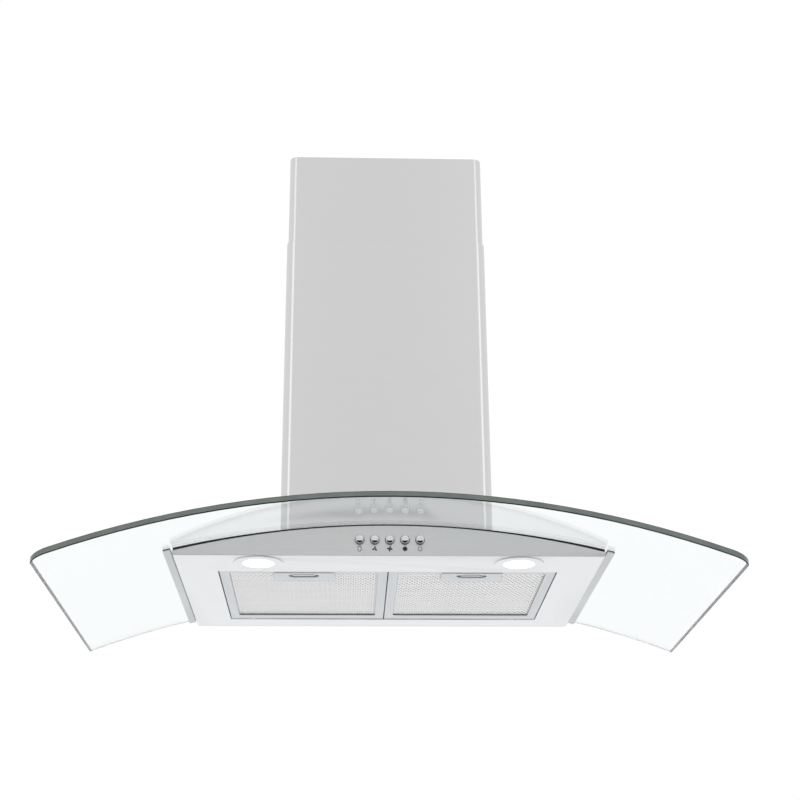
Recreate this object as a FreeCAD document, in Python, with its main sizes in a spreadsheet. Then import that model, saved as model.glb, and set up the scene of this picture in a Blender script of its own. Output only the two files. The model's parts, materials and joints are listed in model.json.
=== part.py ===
import FreeCAD, Part
import Sketcher
import os
import re

# Wall chimney range hood with a bent glass canopy.
# Frame: X to the right, Y towards the wall (wall plane at Y = 0), Z up.
# Origin: on the wall plane, centred, at the height of the hood's underside.

doc = FreeCAD.newDocument("range_hood")
sheet = doc.addObject("Spreadsheet::Sheet", "Sizes")

SIZES = [
    # glass canopy
    ("glass_width", 898, "overall width"),
    ("glass_front", 500, "front edge, from the wall"),
    ("glass_wall_gap", 2, "air between rear edge and wall"),
    ("glass_thick", 8, "pane thickness"),
    ("side_drop", 33.25, "glass, from the middle down to the body's sides"),
    ("glass_crown", 43, "underside at the middle, above the hood's underside"),
    ("glass_corner", 22, "radius of the two front corners"),
    ("cutout_margin", 20, "blower box floor around the air cut-out, front and rear"),
    ("cutout_side", 23, "the same at the sides"),
    ("gasket", 1.5, "strips between steel and glass"),
    ("glass_bolt_side", 6, "bolts through the glass, inside the blower box's side"),
    ("glass_bolt_edge", 10, "bolts, outside the cut-out's front and rear edges"),
    ("glass_hole", 5, "hole radius in the glass"),
    ("bolt_shank", 3, "radius"),
    ("bolt_head", 5, "radius"),
    ("head_height", 3, ""),
    ("bolt_drop", 19, "tip of the bolts below the glass at the middle"),
    ("nut_radius", 5.5, "across the corners"),
    ("nut_height", 4.5, ""),
    ("nut_drop", 17, "underside of the nuts below the glass at the middle"),
    # hood body
    ("sheet_wall", 1, "stainless sheet of the tray"),
    ("body_width", 570, "underside, between the side bends"),
    ("body_depth", 385, "front face of the panel, from the wall"),
    ("side_lean", 5, "how far each side wall leans outwards"),
    ("side_rise", 20, "height over which it leans, before trimming"),
    ("panel_thick", 1.2, "front panel sheet"),
    ("panel_tuck", 63, "the panel's top edge is bent this much tighter than the glass"),
    ("seal_crown", 1.4, "rubber seal at the middle of the panel"),
    ("seal_depth", 9, "front to back"),
    ("seal_proud", 0.5, "seal stands in front of the panel"),
    ("rail_width", 8, "side rail beyond the side wall"),
    ("rail_thick", 1.5, "side rail sheet"),
    ("front_land", 77.5, "underside between the panel and the filter bay"),
    ("rear_land", 44, "underside between the filter bay and the wall"),
    ("side_land", 53.5, "underside beside the filter bay"),
    # filter bay
    ("filter_gap", 1.5, "gap at the front, sides and middle"),
    ("filter_rear_gap", 3, "gap at the hinged edge"),
    ("filter_lift", 0.5, "frame above the hood's underside"),
    ("filter_thick", 9, "frame height"),
    ("frame_side", 13, "lip width at the sides"),
    ("frame_front", 8, "lip width at the front"),
    ("frame_rear", 20, "lip width at the rear"),
    ("frame_wall", 1, "aluminium of the frame"),
    ("mesh_thick", 0.8, "each of the three mesh layers"),
    ("tab_width", 20, "hook tabs at the rear edge"),
    ("tab_pitch", 140, "between the two tabs of a filter"),
    ("tab_reach", 7, "tab beyond the frame"),
    ("tab_lift", 1.5, "tab above the frame's underside"),
    ("tab_thick", 1.2, ""),
    # filter latch
    ("cover_width", 83, "latch cover plate"),
    ("cover_depth", 41, ""),
    ("cover_thick", 1, ""),
    ("cover_setback", 5, "behind the frame's front edge"),
    ("slot_width", 41, "finger slot"),
    ("slot_depth", 17, ""),
    ("slot_setback", 10, "slot's front edge behind the frame's front edge"),
    ("slide_width", 60, "latch slide plate"),
    ("slide_depth", 30, ""),
    ("slide_thick", 2, ""),
    ("slide_setback", 7, "slide plate behind the frame's front edge"),
    ("slide_play", 0.3, "play round the slide"),
    ("tongue_width", 30, ""),
    ("latch_travel", 5, "tongue runs this far over the tray's lip"),
    ("grip_thick", 3, "finger grip on the slide"),
    ("grip_setback", 12, "grip behind the frame's front edge"),
    ("grip_inset", 6, "grip inside the slot's ends"),
    # supports of the filter bay
    ("angle_foot", 10, "foot of the side angles on the tray"),
    ("angle_rise", 6, "angles above the filters"),
    ("bar_width", 14, "bar between the filters"),
    ("bar_sheet", 1.5, ""),
    ("bar_clear", 1, "bar above the filters"),
    ("bar_step", 4, "bar's legs beyond the bay's ends"),
    ("bar_foot", 10, ""),
    # lamps
    ("lamp_side", 110.7, "lamp centres inside the sides of the underside"),
    ("lamp_setback", 36, "lamp centres behind the panel's face"),
    ("ring_radius", 33, "lamp ring flange"),
    ("ring_thick", 1.2, ""),
    ("lens_radius", 20.5, ""),
    ("collar_radius", 27.5, "lamp ring collar, outside"),
    ("collar_height", 14, ""),
    ("lamp_height", 19, "top of the lamp can above the underside"),
    ("lamp_clear", 0.3, "play between lamp pieces"),
    ("lens_rim", 3, "lens rim over the ring"),
    ("lens_thick", 1.5, ""),
    ("can_lift", 2, "lamp can above the underside"),
    ("board_thick", 1.6, ""),
    # push-buttons
    ("button_pitch", 20, ""),
    ("button_radius", 6, ""),
    ("button_drop", 21, "button centres below the glass at the middle"),
    ("button_proud", 5.5, "dome in front of the panel"),
    ("button_head", 9, "length of the head"),
    ("button_round", 3.5, "rounding of the dome"),
    ("button_play", 0.4, "radial play in the panel"),
    ("button_travel", 3, ""),
    ("stem_radius", 4, ""),
    ("stem_length", 14, ""),
    ("block_side", 4, "switch block beyond the five buttons"),
    ("block_depth", 26, ""),
    ("block_height", 20, ""),
    ("block_back", 4, "material behind the stem bores"),
    ("press_room", 0.5, "between a pressed button's head and the block"),
    ("bracket_wall", 1, "switch bracket sheet"),
    ("bracket_lip", 2, "bracket above and below the block"),
    ("window_clear", 0.2, "bracket's holes beyond the panel's"),
    # cross members
    ("member_step", 7, "web of each cross member, inside the glass bolts"),
    ("member_wall", 1.5, ""),
    ("flange_outer", 13, "flange under the glass, outwards from the web"),
    ("flange_inner", 7, "the same, inwards"),
    ("member_notch", 12, "notch over the filters, beyond the bay's ends"),
    ("web_fit", 0.5, "web's top, inside the flange"),
    ("member_clear", 4, "web above the filters"),
    # blower
    ("box_clear", 14, "blower box inside the lower chimney cover"),
    ("box_lift", 5, "blower box above the glass at the middle"),
    ("fan_clear", 20, "volute in front of the blower box's rear"),
    ("throat_step", 29, "front wall of the volute's outlet before the fan axis"),
    ("box_rear", 6, "from the wall"),
    ("box_top", 301, "above the hood's underside"),
    ("box_wall", 0.8, ""),
    ("fan_z", 165, "fan axis height"),
    ("scroll_radius", 95, "volute outside"),
    ("scroll_width", 120, "volute along X"),
    ("scroll_wall", 2, ""),
    ("inlet_radius", 56, ""),
    ("wheel_radius", 62, "impeller outside"),
    ("wheel_width", 100, ""),
    ("blade_depth", 10, ""),
    ("blade_thick", 1.2, ""),
    ("blade_count", 30, ""),
    ("blade_sink", 0.8, "blade tips inside the end rings"),
    ("ring_width", 2, "end rings of the impeller"),
    ("ring_share", 6, "end rings, radially"),
    ("shaft_radius", 4, ""),
    ("shaft_fit", 0.05, "radial running clearance"),
    ("shaft_inner", 8, "shaft beyond the middle plane"),
    ("shaft_outer", 6, "shaft beyond the volute"),
    ("motor_radius", 42, ""),
    ("motor_start", 6, "motor can, from the middle plane"),
    ("motor_nose", 12, "radius of its flat end"),
    ("motor_step", 8, "sloping shoulders of the can"),
    ("spider_bore", 14, "hole round the shaft in the motor bracket"),
    ("arm_thick", 2, "motor bracket sheet"),
    ("arm_width", 12, ""),
    ("arm_reach", 82, "bracket arms, from the fan axis"),
    # outlet
    ("outlet_y", 100, "outlet centre, from the wall"),
    ("outlet_radius", 75, "collar outside, for 150 mm duct"),
    ("outlet_height", 50, ""),
    ("outlet_wall", 2, ""),
    ("outlet_flange", 10, ""),
    ("ledge_height", 20, "flap ledge above the blower box"),
    ("ledge_width", 4, ""),
    ("flap_thick", 1.5, ""),
    ("flap_play", 0.6, "flap to collar wall"),
    ("flap_split", 4, "flap axes, each side of the middle"),
    ("pin_radius", 1.5, ""),
    ("pin_fit", 0.08, ""),
    ("flap_rest", 0.3, "flaps above the ledge, pins short of the collar"),
    ("barrel_step", 4, "barrels short of the collar wall"),
    ("barrel_radius", 3, "hinge barrel of a flap"),
    # electrics on the blower box
    ("terminal_step", 3, "behind the blower box's front"),
    ("terminal_width", 90, ""),
    ("terminal_depth", 46, ""),
    ("terminal_height", 30, ""),
    ("terminal_wall", 2, ""),
    ("lid_thick", 3, ""),
    ("gland_radius", 9, ""),
    ("gland_length", 16, ""),
    ("gland_neck", 7, "radius where it goes through the lid"),
    ("gland_x", 25, "from the middle, towards the right"),
    ("gland_nose", 6.5, "radius of its tapered end"),
    ("cable_hole", 4, "bore of the gland"),
    ("capacitor_radius", 14, ""),
    ("capacitor_length", 48, ""),
    ("capacitor_gap", 8, "from the terminal box"),
    # wall bracket
    ("bracket_side", 28, "bracket inside the blower box's sides"),
    ("bracket_drop", 11, "below the blower box's top"),
    ("bracket_tall", 54, ""),
    ("bracket_sheet", 2, ""),
    ("bracket_lip_drop", 16, "hook's lip below the bracket's top"),
    ("wall_hole_lift", 7, "lower holes above the bracket's foot"),
    ("wall_hole_side", 20, "wall fixing holes inside the bracket's ends"),
    ("wall_hole_z", 26, "spacing along Z"),
    ("wall_hole", 4, "hole radius"),
    ("foot_hole_side", 85, "holes low in the back wall, inside its sides"),
    ("foot_hole_z", 13, "their height"),
    ("foot_hole", 3, "hole radius"),
    # chimney covers
    ("chimney_width", 304, "lower cover outside"),
    ("chimney_depth", 250, "from the wall"),
    ("chimney_corner", 14, "outside radius of the front corners"),
    ("chimney_wall", 0.8, ""),
    ("chimney_wall_gap", 1, "rear edges off the wall"),
    ("chimney_clear", 0.5, "lower cover above the glass"),
    ("cover_foot", 20, "lower cover starts this far under the glass, before trimming"),
    ("slide_gap", 1.2, "upper cover inside the lower one"),
    ("lower_top", 540, "top of the lower cover"),
    ("upper_shown", 150, "upper cover above the lower one"),
    ("upper_foot", 60, "foot of the upper cover when it is pushed right down"),
    ("hanger_height", 40, "bracket at the top of the upper cover"),
    ("hanger_drop", 12, "below the upper cover's top"),
    ("hanger_ear", 36, ""),
    ("hanger_sheet", 2, ""),
    ("hanger_hole_side", 52, "its wall holes inside the lower cover's sides"),
    ("hanger_hole", 3.5, "hole radius"),
    ("screw_shank", 1.8, ""),
    ("screw_step", 4, "screws in front of the middle of the hanger's ears"),
    ("screw_reach", 6, "screws inside the hanger's ears"),
    ("clip_width", 30, "clips that hold the lower cover"),
    ("clip_sheet", 1.5, ""),
    ("clip_height", 9, ""),
]

# What follows from the sizes above.
RELATIONS = {
    "glass_radius": "body_width^2/(8*side_drop) + side_drop/2",
    "panel_arc": "glass_radius - panel_tuck",
    "block_width": "5*button_pitch + block_side",
    "box_width": "chimney_width - 2*box_clear",
    "box_front": "chimney_depth - box_clear",
    "box_base": "glass_crown + glass_thick + box_lift",
    "cutout_width": "box_width - 2*cutout_side",
    "cutout_front": "box_front - cutout_margin",
    "cutout_rear": "box_rear + cutout_margin",
    "glass_bolt_x": "box_width/2 - glass_bolt_side",
    "member_x": "glass_bolt_x - member_step",
    "bay_width": "body_width - 2*side_land",
    "bay_front": "body_depth - front_land",
    "bay_rear": "rear_land",
    "lamp_y": "body_depth - lamp_setback",
    "button_height": "glass_crown - button_drop",
    "fan_y": "box_rear + fan_clear + scroll_radius",
    "throat_front": "fan_y + throat_step",
    "terminal_front": "box_front - terminal_step",
    "bracket_width": "box_width - 2*bracket_side",
    "bracket_high": "box_top - bracket_drop",
    "bracket_low": "bracket_high - bracket_tall",
    "lamp_x": "body_width/2 - lamp_side",
    "wall_hole_x": "bracket_width - 2*wall_hole_side",
    "foot_hole_x": "body_width - 2*foot_hole_side",
    "hanger_hole_x": "chimney_width - 2*hanger_hole_side",
    "upper_top": "lower_top + upper_shown",
    "upper_length": "lower_top - upper_foot",
}

ALIASES = {}
for row, (alias, number, note) in enumerate(SIZES, start=1):
    sheet.set(f"A{row}", alias)
    sheet.set(f"B{row}", str(number))
    sheet.set(f"C{row}", note)
    sheet.setAlias(f"B{row}", alias)
    ALIASES[alias] = number
doc.recompute()

WORD = re.compile(r"[a-z_]+")


def linked(text):
    """An expression whose names point at the sheet, relations written out."""
    def meaning(match):
        word = match[0]
        if word in RELATIONS:
            return f"({linked(RELATIONS[word])})"
        return f"Sizes.{word}" if word in ALIASES else word
    return WORD.sub(meaning, str(text))


def size(alias):
    return float(getattr(sheet, alias))


def bind(thing, target, text):
    thing.setExpression(target, linked(text))


def move(thing, x="0", y="0", z="0"):
    for letter, text in zip("xyz", (x, y, z)):
        bind(thing, f"Placement.Base.{letter}", text)
    return thing


def minus(low, high):
    return f"({high}) - ({low})"


# ---- plain solids and booleans -------------------------------------------------

TURN = {
    "X": FreeCAD.Rotation(FreeCAD.Vector(0, 1, 0), 90),
    "Y": FreeCAD.Rotation(FreeCAD.Vector(1, 0, 0), -90),
    "Z": FreeCAD.Rotation(),
}


def box(name, x, y, z):
    """A block between pairs of planes."""
    block = doc.addObject("Part::Box", name)
    for side, (low, high) in zip(("Length", "Width", "Height"), (x, y, z)):
        bind(block, side, minus(low, high))
    return move(block, x[0], y[0], z[0])


def rod(name, radius, axis, span, centre=("0", "0", "0")):
    """A cylinder along an axis, between two planes of that axis."""
    cylinder = doc.addObject("Part::Cylinder", name)
    cylinder.Placement = FreeCAD.Placement(FreeCAD.Vector(), TURN[axis])
    bind(cylinder, "Radius", radius)
    bind(cylinder, "Height", minus(*span))
    base = list(centre)
    base["XYZ".index(axis)] = span[0]
    return move(cylinder, *base)


def fuse(name, *pieces):
    result = doc.addObject("Part::MultiFuse", name)
    result.Shapes = list(pieces)
    return result


def cut(name, base, *tools):
    result = doc.addObject("Part::Cut", name)
    result.Base = base
    result.Tool = tools[0] if len(tools) == 1 else fuse(name + "_tools", *tools)
    return result


def common(name, first, second):
    result = doc.addObject("Part::Common", name)
    result.Base = first
    result.Tool = second
    return result


def group(name, *pieces):
    result = doc.addObject("Part::Compound", name)
    result.Links = list(pieces)
    return result


def arch(name, radius, crown, y):
    """A lying cylinder along Y whose top line is at height crown."""
    return rod(name, radius, "Y", y, ("0", "0", f"({crown}) - ({radius})"))


def bent(name, inner, outer, x, y):
    """A strip of a shell that follows the glass, given as offsets from its underside."""
    top = arch(name + "_top", f"glass_radius + {outer}", f"glass_crown + {outer}", y)
    below = arch(name + "_below", f"glass_radius + {inner}", f"glass_crown + {inner}", y)
    band = cut(name + "_band", top, below)
    block = box(name + "_block", x, y, ("-glass_width/4", "glass_crown + 2*glass_thick"))
    return common(name, band, block)


# ---- sketched bodies -----------------------------------------------------------

PLANES = {"XY": "XY_Plane", "XZ": "XZ_Plane", "YZ": "YZ_Plane"}


def new_sketch(body, plane, offset):
    sketch = body.newObject("Sketcher::SketchObject", body.Name + "_sketch")
    origin = [f for f in body.Origin.OriginFeatures if f.Role == PLANES[plane]][0]
    sketch.AttachmentSupport = [(origin, "")]
    sketch.MapMode = "FlatFace"
    bind(sketch, "AttachmentOffset.Base.z", offset)
    return sketch


def pin_down(sketch, geometry, point, spot):
    """Holds a point of the sketch at (x, y), each an expression."""
    for kind, text in zip(("DistanceX", "DistanceY"), spot):
        index = sketch.addConstraint(Sketcher.Constraint(kind, -1, 1, geometry, point, 1.0))
        sketch.setExpression(f"Constraints[{index}]", linked(text))


def polygon(sketch, points):
    first = sketch.GeometryCount
    count = len(points)
    for i in range(count):
        start = FreeCAD.Vector(i, i * i, 0)
        end = FreeCAD.Vector(i + 1, (i + 1) * (i + 1), 0)
        sketch.addGeometry(Part.LineSegment(start, end), False)
    for i in range(count):
        after = first + (i + 1) % count
        sketch.addConstraint(Sketcher.Constraint("Coincident", first + i, 2, after, 1))
    for i, spot in enumerate(points):
        pin_down(sketch, first + i, 1, spot)


def rectangle(sketch, x, y):
    polygon(sketch, [(x[0], y[0]), (x[1], y[0]), (x[1], y[1]), (x[0], y[1])])


def circle(sketch, radius, spot=("0", "0")):
    index = sketch.addGeometry(Part.Circle(FreeCAD.Vector(), FreeCAD.Vector(0, 0, 1), 1), False)
    pin_down(sketch, index, 3, spot)
    row = sketch.addConstraint(Sketcher.Constraint("Radius", index, 1.0))
    sketch.setExpression(f"Constraints[{row}]", linked(radius))


NORMAL = {"XY": 1, "XZ": -1, "YZ": 1}


def new_body(name):
    return doc.addObject("PartDesign::Body", name)


def pad(body, plane, span, draw):
    """Adds what draw(sketch) sketches, between two planes."""
    low, high = span
    start = low if NORMAL[plane] > 0 else f"-({high})"
    sketch = new_sketch(body, plane, start)
    draw(sketch)
    feature = body.newObject("PartDesign::Pad", body.Name + "_pad")
    feature.Profile = sketch
    bind(feature, "Length", minus(low, high))
    body.Tip = feature
    return feature


def pocket(body, plane, span, draw):
    """Removes what draw(sketch) sketches, between two planes."""
    low, high = span
    doc.recompute()
    before = body.Shape.Volume
    start = high if NORMAL[plane] > 0 else f"-({low})"
    sketch = new_sketch(body, plane, start)
    draw(sketch)
    feature = body.newObject("PartDesign::Pocket", body.Name + "_pocket")
    feature.Profile = sketch
    bind(feature, "Length", minus(low, high))
    body.Tip = feature
    doc.recompute()
    if body.Shape.Volume >= before:
        raise RuntimeError(f"{body.Label}: a pocket removed nothing")
    return feature


def slot_pocket(body, plane, span, length, width, spot):
    """Removes a rounded slot along the sketch's X, centred on a spot."""
    run = f"(({length}) - ({width}))/2"
    x, y = spot
    pocket(body, plane, span, lambda s: rectangle(
        s, (f"{x} - {run}", f"{x} + {run}"), (f"{y} - ({width})/2", f"{y} + ({width})/2")))
    for end in ("-", "+"):
        pocket(body, plane, span, lambda s, end=end: circle(s, f"({width})/2", (f"{x} {end} {run}", y)))


SPIN = {"Z": ("XZ", "V_Axis"), "Y": ("XY", "V_Axis"), "X": ("XY", "H_Axis")}


def turned(name, axis, points):
    """A turned body: points are (radius, distance along the axis)."""
    body = new_body(name)
    plane, line = SPIN[axis]
    sketch = new_sketch(body, plane, "0")
    polygon(sketch, points if axis != "X" else [(along, radius) for radius, along in points])
    feature = body.newObject("PartDesign::Revolution", name + "_turn")
    feature.Profile = sketch
    feature.ReferenceAxis = (sketch, [line])
    feature.Angle = 360
    body.Tip = feature
    return body


def round_edges(body, radius, wanted):
    """Fillets the edges of the body that pass the test."""
    doc.recompute()
    names = [f"Edge{i}" for i, edge in enumerate(body.Shape.Edges, start=1) if wanted(edge)]
    base = body.Tip
    feature = body.newObject("PartDesign::Fillet", body.Name + "_round")
    feature.Base = (base, names)
    bind(feature, "Radius", radius)
    body.Tip = feature
    return feature


NODES = []


def node(thing, label):
    thing.Label = label
    NODES.append(thing)
    return thing


# ---- glass canopy ----------------------------------------------------------------

GLASS_Y = ("-glass_front", "-glass_wall_gap")
BOLT_Y = ("-cutout_front - glass_bolt_edge", "-cutout_rear + glass_bolt_edge")
BOLTS = [(f"{side}glass_bolt_x", y) for side in ("-", "") for y in BOLT_Y]


def make_glass():
    outline = new_body("glass_outline")
    z = ("-glass_width/4", "glass_crown + 2*glass_thick")
    pad(outline, "XY", z, lambda s: rectangle(s, ("-glass_width/2", "glass_width/2"), GLASS_Y))
    front = -size("glass_front")
    round_edges(outline, "glass_corner", lambda e: e.BoundBox.ZLength > 1
                and abs(e.BoundBox.YMin - front) < 0.01 and e.BoundBox.YLength < 0.01)

    def openings(s):
        rectangle(s, ("-cutout_width/2", "cutout_width/2"), ("-cutout_front", "-cutout_rear"))
        for spot in BOLTS:
            circle(s, "glass_hole", spot)
    pocket(outline, "XY", z, openings)
    top = arch("glass_top", "glass_radius + glass_thick", "glass_crown + glass_thick", GLASS_Y)
    below = arch("glass_below", "glass_radius", "glass_crown", GLASS_Y)
    node(common("glass_canopy", cut("glass_bend", top, below), outline), "glass_canopy")


# ---- hood body -------------------------------------------------------------------

HALF = "body_width/2"
OUT = "body_width/2 + side_lean"
PANEL_BACK = "-body_depth + panel_thick"
RAIL_X = ("body_width/2 + side_lean*0.7", "body_width/2 + side_lean + rail_width")
STEEL_TOP = "-(gasket + rail_thick)"


def make_tray():
    body = new_body("tray")
    y = (PANEL_BACK, "0")
    wall = "sheet_wall"
    half_in = f"{HALF} - {wall}"
    out_in = f"{OUT} - {wall}"
    pad(body, "XZ", y, lambda s: polygon(s, [
        (f"-({HALF})", "0"), (HALF, "0"), (OUT, "side_rise"), (out_in, "side_rise"),
        (half_in, wall), (f"-({half_in})", wall), (f"-({out_in})", "side_rise"),
        (f"-({OUT})", "side_rise")]))
    pocket(body, "XY", ("0", wall), lambda s: rectangle(
        s, ("-bay_width/2", "bay_width/2"), ("-bay_front", "-bay_rear")))

    def lamp_holes(s):
        for side in ("-", ""):
            circle(s, "collar_radius + lamp_clear", (f"{side}lamp_x", "-lamp_y"))
    pocket(body, "XY", ("0", wall), lamp_holes)
    limit = arch("tray_limit", f"glass_radius + {STEEL_TOP}", f"glass_crown + {STEEL_TOP}",
                 ("-body_depth", "1"))
    node(common("hood_body", body, limit), "hood_body")


def make_back_wall():
    plate = new_body("back_plate")
    half_in = f"{HALF} - sheet_wall"
    pad(plate, "XZ", ("-sheet_wall", "0"), lambda s: rectangle(
        s, (f"-({half_in})", half_in), ("sheet_wall", "glass_crown")))

    def holes(s):
        for side in ("-", ""):
            circle(s, "foot_hole", (f"{side}foot_hole_x/2", "foot_hole_z"))
    pocket(plate, "XZ", ("-sheet_wall", "0"), holes)
    limit = arch("back_limit", "glass_radius - gasket", "glass_crown - gasket", ("-5", "5"))
    node(common("back_wall", plate, limit), "back_wall")


BUTTON_NAMES = ["lamp", "low", "medium", "high", "stop"]
BUTTON_X = [f"button_pitch*({i} - 2)" for i in range(5)]


def make_front_panel():
    plate = new_body("panel_plate")
    y = ("-body_depth", PANEL_BACK)
    pad(plate, "XZ", y, lambda s: polygon(s, [
        (f"-({HALF})", "0"), (HALF, "0"), (OUT, "side_rise"), (HALF, "glass_crown"),
        (f"-({HALF})", "glass_crown"), (f"-({OUT})", "side_rise")]))

    def holes(s):
        for x in BUTTON_X:
            circle(s, "button_radius + button_play", (x, "button_height"))
    pocket(plate, "XZ", y, holes)
    limit = arch("panel_limit", "panel_arc", "glass_crown - seal_crown", ("-body_depth - 1", "0"))
    node(common("front_panel", plate, limit), "front_panel")


def make_front_seal():
    y = ("-body_depth - seal_proud", "-body_depth - seal_proud + seal_depth")
    top = arch("seal_top", "glass_radius", "glass_crown", y)
    below = arch("seal_below", "panel_arc", "glass_crown - seal_crown", y)
    block = box("seal_block", (f"-({HALF})", HALF), y, ("-5", "glass_crown + glass_thick"))
    node(common("front_seal", cut("seal_band", top, below), block), "front_seal")


def make_rails_and_gaskets():
    y = ("-body_depth", "-glass_wall_gap")
    inner, outer = RAIL_X
    sides = {"left": (f"-({outer})", f"-({inner})"), "right": (inner, outer)}
    for side, x in sides.items():
        node(bent(f"side_rail_{side}", STEEL_TOP, "(-gasket)", x, y), f"side_rail_{side}")
    strips = [bent(f"side_gasket_{side}", "(-gasket)", "0", x, y) for side, x in sides.items()]
    for side, x in MEMBER_FLANGE.items():
        bare = bent(f"member_gasket_{side}", "(-gasket)", "0", x, MEMBER_Y)
        strips.append(cut(f"member_gasket_{side}_cut", bare, *bolt_rods(side, "gasket", "bolt_shank")))
    node(group("glass_gaskets", *strips), "glass_gaskets")


# ---- cross members, clamp frame and glass bolts ----------------------------------

MEMBER_Y = ("-body_depth + seal_depth", "-sheet_wall")
MEMBER_FLANGE = {
    "left": ("-member_x - flange_outer", "-member_x + flange_inner"),
    "right": ("member_x - flange_inner", "member_x + flange_outer"),
}


def bolt_rods(side, use, radius):
    sign = "-" if side == "left" else ""
    return [rod(f"{use}_{side}_rod_{i}", radius, "Z", ("0", "box_base + 20"),
                (f"{sign}glass_bolt_x", y, "0")) for i, y in enumerate(BOLT_Y)]


def make_cross_members():
    clear = "filter_lift + filter_thick + member_clear"
    notch_y = ("-bay_front - member_notch", "-bay_rear + member_notch")
    for side, flange_x in MEMBER_FLANGE.items():
        name = f"cross_member_{side}"
        centre = "-member_x" if side == "left" else "member_x"
        web_x = (f"{centre} - member_wall/2", f"{centre} + member_wall/2")
        web = box(name + "_web", web_x, MEMBER_Y, ("sheet_wall", "glass_crown"))
        notch = box(name + "_notch", web_x, notch_y, ("0", clear))
        limit = arch(name + "_limit", "glass_radius - gasket - web_fit",
                     "glass_crown - gasket - web_fit", MEMBER_Y)
        flange = bent(name + "_flange", "-(gasket + member_wall)", "(-gasket)", flange_x, MEMBER_Y)
        trimmed = common(name + "_trim", cut(name + "_open", web, notch), limit)
        whole = fuse(name + "_whole", trimmed, flange)
        node(cut(name, whole, *bolt_rods(side, name, "bolt_shank")), name)


def make_clamp_frame():
    x = ("-box_width/2", "box_width/2")
    y = ("-box_front", "-box_rear")
    block = box("clamp_block", x, y, ("0", "box_base"))
    hole = box("clamp_hole", ("-cutout_width/2", "cutout_width/2"), ("-cutout_front", "-cutout_rear"),
               ("0", "box_base"))
    glass = arch("clamp_glass", "glass_radius + glass_thick", "glass_crown + glass_thick",
                 ("-box_front - 1", "0"))
    rods = bolt_rods("left", "clamp", "bolt_shank") + bolt_rods("right", "clamp", "bolt_shank")
    node(cut("clamp_frame", block, hole, glass, *rods), "clamp_frame")


def make_glass_bolts():
    """Bolts from inside the blower box down through the glass, with nuts and sleeves."""
    seat = "box_base + box_wall"
    bolts, nuts, sleeves = [], [], []
    for i, (x, y) in enumerate(BOLTS):
        tip = "glass_crown - bolt_drop"
        shank = rod(f"bolt_{i}_shank", "bolt_shank", "Z", (tip, seat), (x, y, "0"))
        head = rod(f"bolt_{i}_head", "bolt_head", "Z", (seat, f"{seat} + head_height"), (x, y, "0"))
        bolts.append(fuse(f"bolt_{i}", shank, head))
        nut = doc.addObject("Part::Prism", f"nut_{i}_hex")
        nut.Polygon = 6
        bind(nut, "Circumradius", "nut_radius")
        bind(nut, "Height", "nut_height")
        move(nut, x, y, "glass_crown - nut_drop")
        bore = rod(f"nut_{i}_bore", "bolt_shank", "Z", ("0", "glass_crown"), (x, y, "0"))
        nuts.append(cut(f"nut_{i}", nut, bore))
        tube = cut(f"sleeve_{i}_tube",
                   rod(f"sleeve_{i}_out", "glass_hole", "Z", ("0", "box_base"), (x, y, "0")),
                   rod(f"sleeve_{i}_in", "bolt_shank", "Z", ("0", "box_base"), (x, y, "0")))
        near = (f"({x}) - 2*glass_hole", f"({x}) + 2*glass_hole")
        around = (f"({y}) - 2*glass_hole", f"({y}) + 2*glass_hole")
        pane = bent(f"sleeve_{i}_pane", "0", "glass_thick", near, around)
        sleeves.append(common(f"sleeve_{i}", tube, pane))
    node(group("glass_bolts", *bolts), "glass_bolts")
    node(group("glass_nuts", *nuts), "glass_nuts")
    node(group("bolt_sleeves", *sleeves), "bolt_sleeves")


def make_bay_supports():
    """Angles along the bay's sides and a bar between the filters."""
    y = ("-bay_front", "-bay_rear")
    angles = []
    for side in ("left", "right"):
        def outwards(near, far):
            spans = (f"bay_width/2 + {near}", f"bay_width/2 + {far}")
            return spans if side == "right" else (f"-({spans[1]})", f"-({spans[0]})")
        wall = box(f"angle_{side}_wall", outwards("0", "sheet_wall"), y,
                   ("sheet_wall", "filter_thick + angle_rise"))
        foot = box(f"angle_{side}_foot", outwards("0", "angle_foot"), y, ("sheet_wall", "2*sheet_wall"))
        angles.append(fuse(f"angle_{side}", wall, foot))
    node(group("bay_angles", *angles), "bay_angles")
    low = "filter_lift + filter_thick + bar_clear"
    leg_front, leg_rear = "-bay_front - bar_step", "-bay_rear + bar_step"
    bar = new_body("bar")
    pad(bar, "YZ", ("-bar_width/2", "bar_width/2"), lambda s: polygon(s, [
        (f"{leg_front} - bar_foot", "sheet_wall"), (leg_front, "sheet_wall"),
        (leg_front, low), (leg_rear, low), (leg_rear, "sheet_wall"),
        (f"{leg_rear} + bar_foot", "sheet_wall"), (f"{leg_rear} + bar_foot", f"{low} + bar_sheet"),
        (f"{leg_front} - bar_foot", f"{low} + bar_sheet")]))
    node(bar, "centre_bar")


# ---- lamps -----------------------------------------------------------------------

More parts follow.
